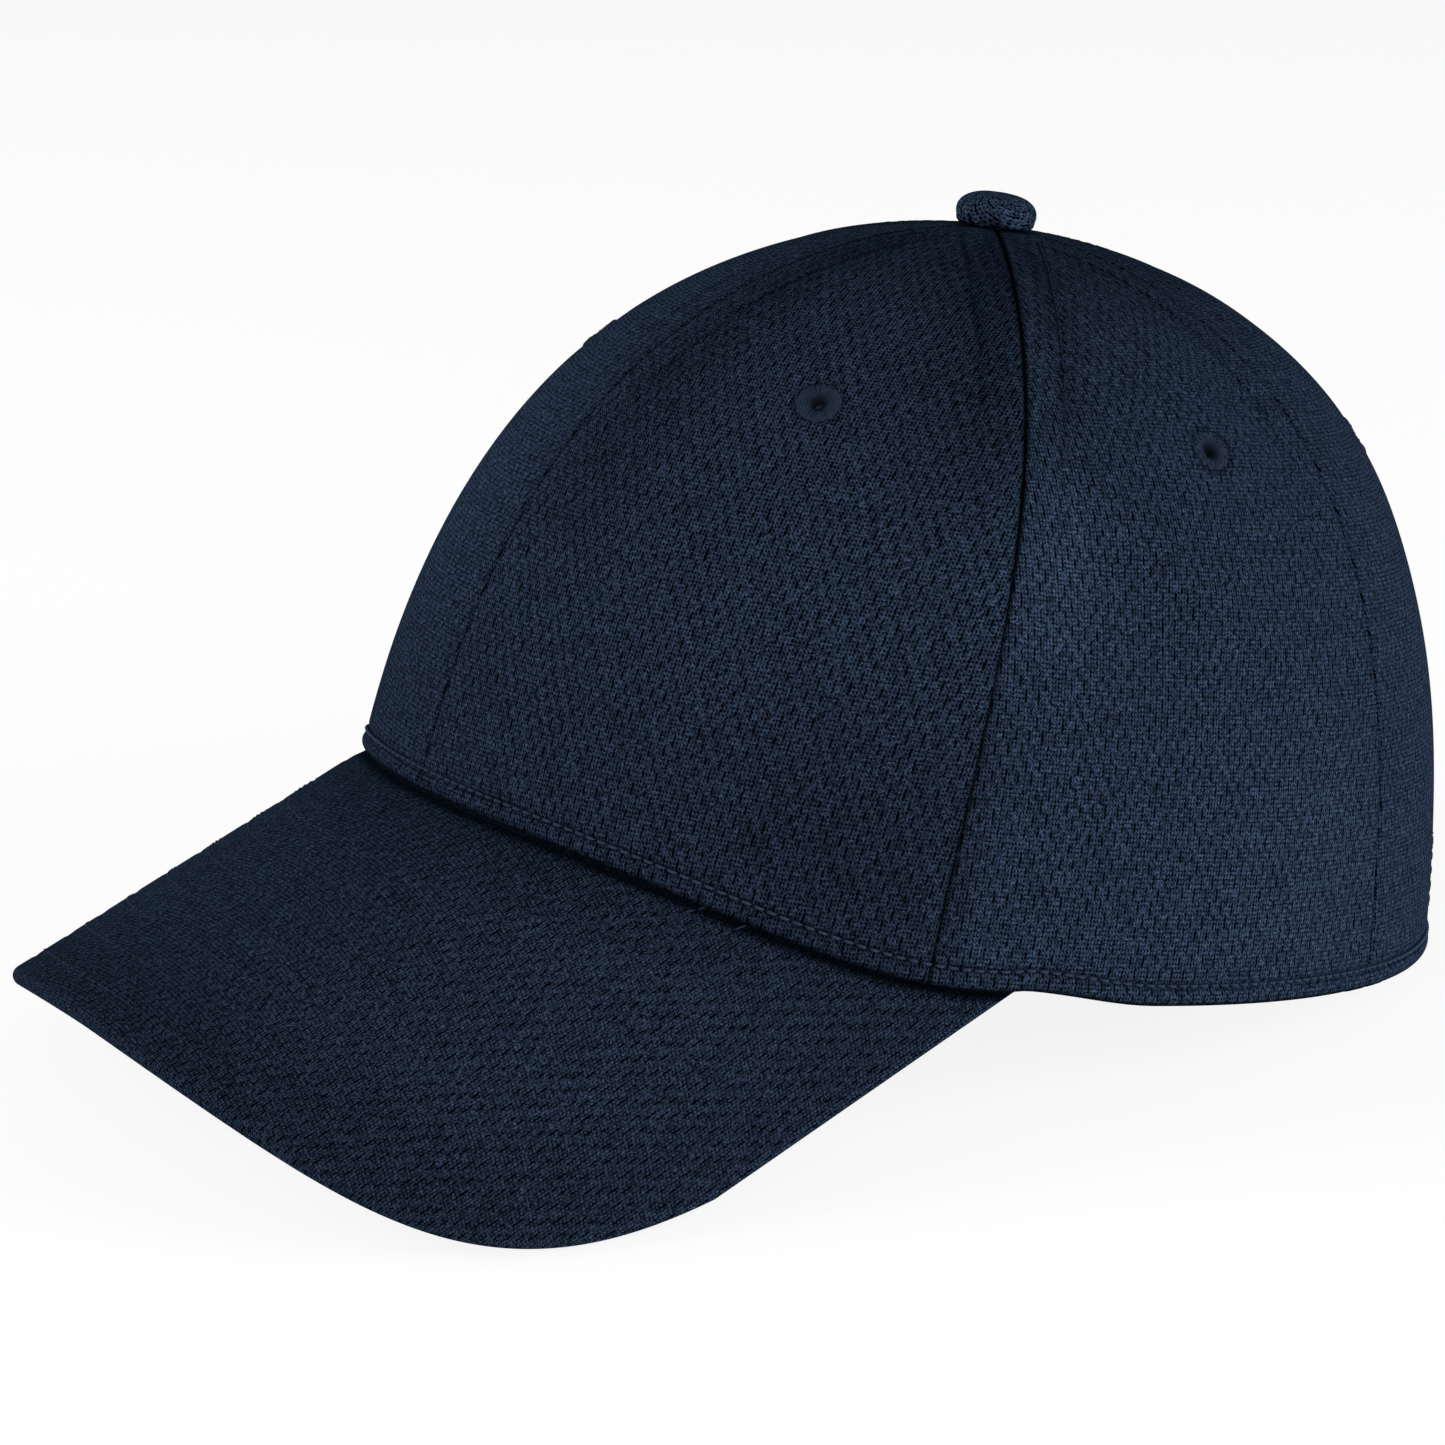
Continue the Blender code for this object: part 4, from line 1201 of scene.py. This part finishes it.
def add_buckram(side, first):
    middle = first + PANEL_ANGLE / 2
    angles = edged(first, first + PANEL_ANGLE, 70, 0.3)
    low = hem_rise(angles, 1.8 * MM, 6.0 * MM)
    top = rise_at_radius(angles, BUCKRAM_TOP_RADIUS)
    rise = climb(angles, low, top, np.array([0.0, 0.2 * MM, 0.5 * MM]), 110)
    radius = from_axis(outside(angles + rise * 0.0, rise))
    bent = bowed(middle + (angles - middle) * (1.0 - 3.0 * MM / (radius * math.radians(PANEL_ANGLE))), rise)
    ripple = 0.06 * MM * np.sin(angles * 1.7) * np.sin(rise * 40.0)
    layer = [1.5 * MM + ripple, 2.15 * MM + ripple]
    at, axis = eyelet_centre("front_" + side)
    outer, inner = crown(bent, rise, layer[0]), crown(bent, rise, layer[1])
    keep = open_eyelet(outer, inner, at, axis)
    run = rise_run(rise, middle)
    coords = np.stack([(angles - middle)[None, :] * np.radians(radius), run], -1)
    settings = {"keep": keep, "nodes": ["buckram_" + side]}
    add_plate("buckram_weave_" + side, outer, inner, coords, BUCKRAM, "buckram", **settings)


def rise_run(rise, angle):
    """Length up the crown at an angle for each rise."""
    table = np.linspace(0.0, 1.0, 400) ** 2 * 1.56
    return np.interp(rise, table, path_length(outside(np.full_like(table, angle), table)))


def add_tape(place, seam, layer):
    """Seam tape with two rows of stitches."""
    sides = np.array([-1.0, -0.93, -0.8, -0.55, -0.25, 0.0, 0.25, 0.55, 0.8, 0.93, 1.0])
    middle = np.array([seam])
    low = hem_rise(middle, layer[0], 11.0 * MM)
    if seam == 180.0:
        low = rise_at_height(np.array([ARCH_HEIGHT + BINDING_WIDTH + 1.5 * MM]))
    top = rise_at_radius(middle, TAPE_TOP_RADIUS)
    column = climb(middle, low, top, np.array([0.0, 0.3 * MM]), 150)
    radius = from_axis(outside(np.full_like(column, seam), column))
    rise = column + sides * 0.0
    angle = bowed(np.full_like(rise, seam), rise) + sides * np.degrees(TAPE_HALF / radius)
    run = rise_run(rise, seam)
    wave = 0.10 * MM * np.sin(run * 2.0 * math.pi / (3.3 * MM)) * np.abs(sides) ** 2
    bow = 0.15 * MM * np.abs(sides) ** 3
    depths = [layer[0] + bow + wave * 0.5, layer[1] + bow + wave]
    coords = np.stack([sides * TAPE_HALF + run * 0.0, run], -1)
    node = "seam_tape_" + place
    add_lining(f"tape_{place}_weave", angle, rise, depths, coords, TAPE, "seam_tape", [node])
    rows = []
    for side in (-0.72, 0.72):
        bent = angle[:, 5] + side * np.degrees(TAPE_HALF / radius[:, 0])
        path = crown(bent, column[:, 0], layer[1] + 0.12 * MM)
        rows.append(stitch_mesh(path, inward(bent, column[:, 0])))
    add_stitches(f"tape_{place}_stitches", rows, THREAD, slot="seam_tape")


def add_arch_binding():
    foot = math.degrees(math.asin(BINDING_LOW / ARCH_HEIGHT))
    turns = edged(foot, 180.0 - foot, 120, 0.8)[None, :]
    share = np.array([0.03, 0.06, 0.15, 0.35, 0.5, 0.65, 0.85, 0.96, 1.0])[:, None]
    wide = math.radians(ARCH_HALF_ANGLE) * HEM_HALF_LENGTH + BINDING_WIDTH * share
    tall = ARCH_HEIGHT + BINDING_WIDTH * share
    start = np.arcsin(BINDING_LOW / tall)
    t = start + (math.pi - 2.0 * start) * (turns - foot) / (180.0 - 2.0 * foot)
    angle = 180.0 - np.degrees(wide / HEM_HALF_LENGTH) * np.cos(t)
    rise = rise_at_height(tall * np.sin(t))
    coords = np.stack([t * wide, share * BINDING_WIDTH + t * 0.0], -1)
    looks = (TAPE, "seam_tape", ["arch_binding"])
    add_lining("arch_binding_weave", angle, rise, BACK_TAPE, coords, *looks)


SWEATBAND_ROWS = np.array([
    0, 0.2, 0.5, 0.9, 1.4, 2.0, 2.8, 3.8, 5, 7, 9,
    12, 15, 18, 21, 24, 26.5, 28.5, 30, 31, 31.6, 32,
]) * MM


def add_sweatband():
    """The band inside the hem: turned out to meet it below, folded over along its top."""
    angles = edged(-SWEATBAND_END, SWEATBAND_END, 360, 0.3)
    low = hem_rise(angles, 4.0 * MM, 1.0 * MM)
    heights = crown(angles, low, 4.0 * MM)[:, 2]
    run = SWEATBAND_ROWS[:, None] + angles * 0.0
    rise = np.maximum(rise_at_height(heights + run), low)
    puff = 0.25 * MM * np.sin(np.radians(angles) * 17.0) * bump(run, 0.018, 0.008)
    turn_out = 1.0 * MM * (1.0 - smooth(run, 0.0, 4.0 * MM))
    fold = 0.35 * MM * bump(run, 0.0305, 1.2 * MM)
    outer = SWEATBAND_LAYER[0] - turn_out - fold * 0.4
    inner = SWEATBAND_LAYER[1] - turn_out + fold + puff
    along = np.radians(angles) * hem_radius(angles)
    coords = np.stack([along + run * 0.0, run], -1)
    looks = (BAND, "sweatband", ["sweatband"])
    add_lining("sweatband_jersey", angles + run * 0.0, rise, (outer, inner), coords, *looks)
    rows = []
    for height, depth in SWEATBAND_STITCHES:
        level = rise_at_height(heights + height)
        path = crown(angles, level, depth)
        rows.append(stitch_mesh(path[2:-2], inward(angles, level)[2:-2], pitch=2.8 * MM))
    add_stitches("sweatband_stitches", rows, THREAD, slot="sweatband")


def add_label():
    """A blank woven label, sewn along its top."""
    half = math.degrees(LABEL_HALF / float(hem_radius(LABEL_ANGLE)))
    angles = edged(LABEL_ANGLE - half, LABEL_ANGLE + half, 26, 0.3)
    heights = edged(LABEL_LOW, LABEL_HIGH, 16, 0.3 * MM)
    angle, height = np.meshgrid(angles, heights)
    rise = rise_at_height(height)
    curl = 0.35 * MM * smooth(height, 0.012, 0.008) + 0.08 * MM * np.sin(angle)
    coords = np.stack([np.radians(angle) * 0.09, height], -1)
    layer = [face + curl for face in LABEL_LAYER]
    add_lining("label_satin", angle, rise, layer, coords, LABEL, "label", ["care_label"], curl=0.1 * MM)
    top = np.linspace(LABEL_ANGLE - half + 0.6, LABEL_ANGLE + half - 0.6, 40)
    level = np.full_like(top, float(rise_at_height(LABEL_STITCH)))
    path = crown(top, level, 5.85 * MM)
    rows = [stitch_mesh(path, inward(top, level), pitch=2.0 * MM)]
    add_stitches("label_stitches", rows, THREAD, slot="label")


# ---- straps

STRAP_LOW = 0.004
STRAP_WIDTH = 0.020
STRAP_CORNER = 0.006
STRAP_MIDDLE = STRAP_LOW + STRAP_WIDTH / 2
LOOP_LAYER = (2.62 * MM, 3.58 * MM)
HOOK_LAYER = (-0.48 * MM, 0.48 * MM)
LOOP_SPAN = (146.0, 197.0)
HOOK_SPAN = (214.0, 158.8)
LOOP_HINGE = 156.7
HOOK_HINGE = 196.8
HINGE_HALF = 1.5
JOG_START = 199.6
JOG_END = 203.2
LOOP_PILE_LAYER = (1.75 * MM, 2.5 * MM)
HOOK_BACK_LAYER = (0.55 * MM, 0.85 * MM)
HOOK_DEPTH = 0.95 * MM
HOOK_PITCH = 0.95 * MM
PILE_INSET = 1.5 * MM
PILE_PAST_HINGE = 2.6
# Grid lines from a strap's edge to its middle, as shares of its width
STRAP_EDGE_SHARES = np.array([0.0, 0.012, 0.03, 0.06, 0.12, 0.2, 0.3, 0.4])
STRAPS = {
    "loop": (LOOP_SPAN, LOOP_LAYER, LOOP_HINGE),
    "hook": (HOOK_SPAN, HOOK_LAYER, HOOK_HINGE),
}


def strap_trim(angle, tip, corner):
    """How far a strap's edges draw in near its rounded tip."""
    short = np.radians(np.abs(tip - angle)) * HEM_HALF_LENGTH
    past = np.clip(corner - short, 0.0, corner)
    return corner - np.sqrt(corner**2 - past**2)


def strap_depth(span, angle):
    """The hook strap comes out from inside the panel to lie over the loop strap."""
    if span == HOOK_SPAN:
        return 3.1 * MM * smooth(angle, JOG_START, JOG_END)
    return np.zeros_like(angle)


def strap_grid(span, inset, start=None):
    """Angles and heights over a strap, closer together round its tip."""
    first = span[0] if start is None else start
    tip = span[1] - math.copysign(math.degrees(inset / HEM_HALF_LENGTH), span[1] - span[0])
    reach = math.copysign(math.degrees(STRAP_CORNER / HEM_HALF_LENGTH), tip - first)
    round_part = tip - reach * (1.0 - np.sin(np.radians(np.linspace(0.0, 90.0, 14))))
    angles = np.concatenate([edged(first, tip - reach, 60, 0.2)[:-2], round_part])
    trim = np.minimum(strap_trim(angles, tip, STRAP_CORNER), STRAP_WIDTH / 2 - inset - 2.6 * MM)
    low, high = STRAP_LOW + inset + trim, STRAP_LOW + STRAP_WIDTH - inset - trim
    share = np.concatenate([STRAP_EDGE_SHARES, [0.5], 1.0 - STRAP_EDGE_SHARES[::-1]])
    return angles, low + (high - low) * share[:, None]


def strap_cloth(span, inset, start=None):
    """A strap's grid as angles, rises, heights and cloth coordinates."""
    angles, heights = strap_grid(span, inset, start)
    rise = rise_at_height(heights)
    angle = angles + rise * 0.0
    coords = np.stack([np.radians(angle) * HEM_HALF_LENGTH, heights], -1)
    return angle, rise, heights, coords


def hinge_ends(span, angle):
    """Points on the fixed side and the moving side of a strap's fold, in the world."""
    step = math.copysign(HINGE_HALF, span[1] - span[0])
    level = float(rise_at_height(STRAP_MIDDLE))
    return [tuple(world(crown(angle + side * step, level, 0.0))) for side in (-1.0, 1.0)]


def add_strap(name, span, layer, hinge):
    """A strap from its sewn root to its tip."""
    angle, rise, heights, coords = strap_cloth(span, 0.0)
    jog = strap_depth(span, angle)
    rim = np.minimum(heights - heights[0], heights[-1] - heights)
    pillow = 0.12 * MM * bump(rim, 1.8 * MM, 1.0 * MM) - 0.06 * MM
    thin = 0.3 * MM * (1.0 - smooth(rim, 0.0, 0.7 * MM))
    outer = crown(angle, rise, layer[0] + jog + thin - pillow * 0.5)
    inner = crown(angle, rise, layer[1] + jog - thin)
    if span[1] < span[0]:
        outer, inner, coords = outer[:, ::-1], inner[:, ::-1], coords[:, ::-1]
    settings = {"slot": "strap_web", "body": None}
    web, body = f"{name}_strap_knit", f"{name}_tab"
    nodes = [f"{name}_strap_root", f"{name}_strap"]
    strap = add_plate(web, outer, inner, coords[..., ::-1], STRAP_KNIT, nodes=nodes, **settings)
    start, end = hinge_ends(span, hinge)
    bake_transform(strap)
    outline = strap_outline(span, 1.8 * MM)
    rise = rise_at_height(outline[:, 1])
    depth = layer[0] + strap_depth(span, outline[:, 0]) + 0.02 * MM
    path = crown(outline[:, 0], rise, depth)
    rows = [stitch_mesh(path, -inward(outline[:, 0], rise))]
    sewn = add_stitches(web + "_stitches", rows, THREAD, **settings)
    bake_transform(sewn)


def strap_outline(span, inset):
    """Stitch line round a strap: along its lower edge, round its tip and back along the top."""
    angles, heights = strap_grid(span, inset)
    low = np.column_stack([angles, heights[0]])
    high = np.column_stack([angles, heights[-1]])[::-1]
    return np.concatenate([low, high])


def add_loop_pile():
    """Brushed loops, as a soft uneven cushion of pile."""
    angle, rise, heights, coords = strap_cloth(LOOP_SPAN, PILE_INSET, LOOP_HINGE + PILE_PAST_HINGE)
    draw = np.random.default_rng(5)
    fuzz = draw.normal(0.0, 0.05 * MM, rise.shape)
    rim = np.minimum(heights - heights[0], heights[-1] - heights)
    drop = 0.35 * MM * (1.0 - smooth(rim, 0.0, 1.0 * MM))
    outer = crown(angle, rise, LOOP_PILE_LAYER[0] + fuzz + drop)
    inner = crown(angle, rise, LOOP_PILE_LAYER[1])
    settings = {"body": "loop_tab", "nodes": ["loop_tape"]}
    add_plate("loop_pile", outer, inner, coords, LOOP_PILE, "loop_pile", **settings)


def add_hook_pile():
    """Backing strip with rows of small hooks that face the loops."""
    cloth = strap_cloth(HOOK_SPAN, PILE_INSET, HOOK_HINGE - PILE_PAST_HINGE)
    angle, rise, _, coords = [grid[:, ::-1] for grid in cloth]
    outer, inner = [crown(angle, rise, depth) for depth in HOOK_BACK_LAYER]
    settings = {"body": "hook_tab", "nodes": ["hook_tape"]}
    add_plate("hook_backing", outer, inner, coords, HOOK_PILE, "hook_pile", **settings)
    hooks = {"pitch": HOOK_PITCH, "share": 0.62, "radius": 0.16 * MM, "proud": 1.4}
    rows = []
    for height in np.arange(STRAP_LOW + 2.6 * MM, STRAP_LOW + STRAP_WIDTH - 2.4 * MM, HOOK_PITCH):
        row = np.linspace(angle[0, 0] + 2.2, angle[0, -1] - 0.4, 60)
        level = np.full_like(row, float(rise_at_height(height)))
        path = crown(row, level, HOOK_DEPTH)
        rows.append(stitch_mesh(path, inward(row, level), **hooks))
    add_stitches("hook_rows", rows, HOOK_PILE, slot="hook_pile", body="hook_tab")


# ---- the stage

CAMERA_AZIMUTH = math.radians(59.14)
CAMERA_ELEVATION = math.radians(16.84)
CAMERA_ROLL = math.radians(-2.36)
CAMERA_AT = (0.6957, -0.4209, 0.2980)
CAMERA_LENS = 121.35
SENSOR = 36.0
FLOOR_SIZE = 40.0
FLOOR_GREY = 0.25
FLOOR_GLOW = 0.86
SKY_AT_HORIZON = 0.9
SKY_OVERHEAD = 0.12
# Azimuth, elevation, distance, size and power
LIGHTS = {
    "right": (122.0, 16.0, 1.6, 1.0, 13.0),
    "left": (-32.0, 22.0, 1.6, 0.9, 12.0),
    "front": (62.0, 28.0, 1.8, 1.0, 5.0),
}


def add_camera():
    data = bpy.data.cameras.new("camera")
    data.lens = CAMERA_LENS
    data.sensor_width = SENSOR
    data.clip_start = 0.01
    camera = add_object("camera", data)
    camera.location = CAMERA_AT
    camera.rotation_mode = "XYZ"
    aim = Matrix.Rotation(CAMERA_AZIMUTH, 3, "Z")
    aim = aim @ Matrix.Rotation(math.pi / 2 - CAMERA_ELEVATION, 3, "X")
    aim = aim @ Matrix.Rotation(CAMERA_ROLL, 3, "Z")
    camera.rotation_euler = aim.to_euler("XYZ")
    bpy.context.scene.camera = camera


def add_light(name, azimuth, elevation, distance, size, power):
    """A soft box that faces the cap from a direction, in degrees."""
    data = bpy.data.lights.new(name, "AREA")
    data.shape = "SQUARE"
    data.size = size
    data.energy = power
    lamp = add_object(name, data)
    a, e = math.radians(azimuth), math.radians(elevation)
    back = Vector((math.sin(a) * math.cos(e), -math.cos(a) * math.cos(e), math.sin(e)))
    lamp.location = back * distance + Vector((0.0, 0.0, 0.06))
    lamp.rotation_euler = (-back).to_track_quat("-Z", "Y").to_euler()


def add_stage():
    bpy.ops.mesh.primitive_plane_add(size=FLOOR_SIZE, location=(0.0, 0.0, 0.0))
    floor = bpy.context.object
    floor.name = "floor"
    look = bpy.data.materials.new("floor")
    look.use_nodes = True
    fill(look.node_tree, look.node_tree.nodes["Principled BSDF"], {
        "Base Color": (FLOOR_GREY, FLOOR_GREY, FLOOR_GREY, 1.0),
        "Roughness": 1.0, "Specular IOR Level": 0.0,
        "Emission Color": (1.0, 1.0, 1.0, 1.0), "Emission Strength": FLOOR_GLOW,
    })
    floor.data.materials.append(look)
    add_sky()
    bpy.context.scene.view_settings.view_transform = "Standard"
    for name, settings in LIGHTS.items():
        add_light(name, *settings)


def add_sky():
    """Studio surroundings, brighter near the horizon than overhead."""
    sky = bpy.data.worlds.new("studio")
    bpy.context.scene.world = sky
    sky.use_nodes = True
    tree = sky.node_tree
    way = shader_node(tree, "ShaderNodeTexCoord", {}).outputs["Generated"]
    height = shader_node(tree, "ShaderNodeSeparateXYZ", {0: way}).outputs["Z"]
    strength = ramp(tree, height, 0.08, 0.5, SKY_AT_HORIZON, SKY_OVERHEAD)
    fill(tree, tree.nodes["Background"], {"Strength": strength, "Color": (1.0, 1.0, 1.0, 1.0)})


# ---- the cap

PANELS = {
    "front_left": 0.0, "side_left": 60.0, "rear_left": 120.0,
    "rear_right": 180.0, "side_right": 240.0, "front_right": 300.0,
}
SEAMS = {
    "center_front": (0.0, FRONT_TAPE), "front_left": (60.0, FRONT_TAPE), "front_right": (300.0, FRONT_TAPE),
    "rear_left": (120.0, BACK_TAPE), "rear_right": (240.0, BACK_TAPE), "center_back": (180.0, BACK_TAPE),
}

# CAD nodes that keep their shapes
CAD_LOOKS = {
    "button_shell": METAL, "button_rivet": METAL, "button_backing": METAL, "visor_board": BOARD,
}


def build_cap():
    for number, (place, first) in enumerate(PANELS.items()):
        add_panel(place, first)
        add_eyelet(place, number)
    add_crown_stitches()
    add_button()
    add_visor()
    add_visor_stitches()
    add_buckram("left", 0.0)
    add_buckram("right", 300.0)
    for place, (seam, layer) in SEAMS.items():
        add_tape(place, seam, layer)
    add_arch_binding()
    add_sweatband()
    add_label()
    for name, (span, layer, hinge) in STRAPS.items():
        add_strap(name, span, layer, hinge)
    add_loop_pile()
    add_hook_pile()
    for node, look in CAD_LOOKS.items():
        frame["nodes"][node].data.materials.clear()
        frame["nodes"][node].data.materials.append(look)


build_cap()
add_stage()
add_camera()
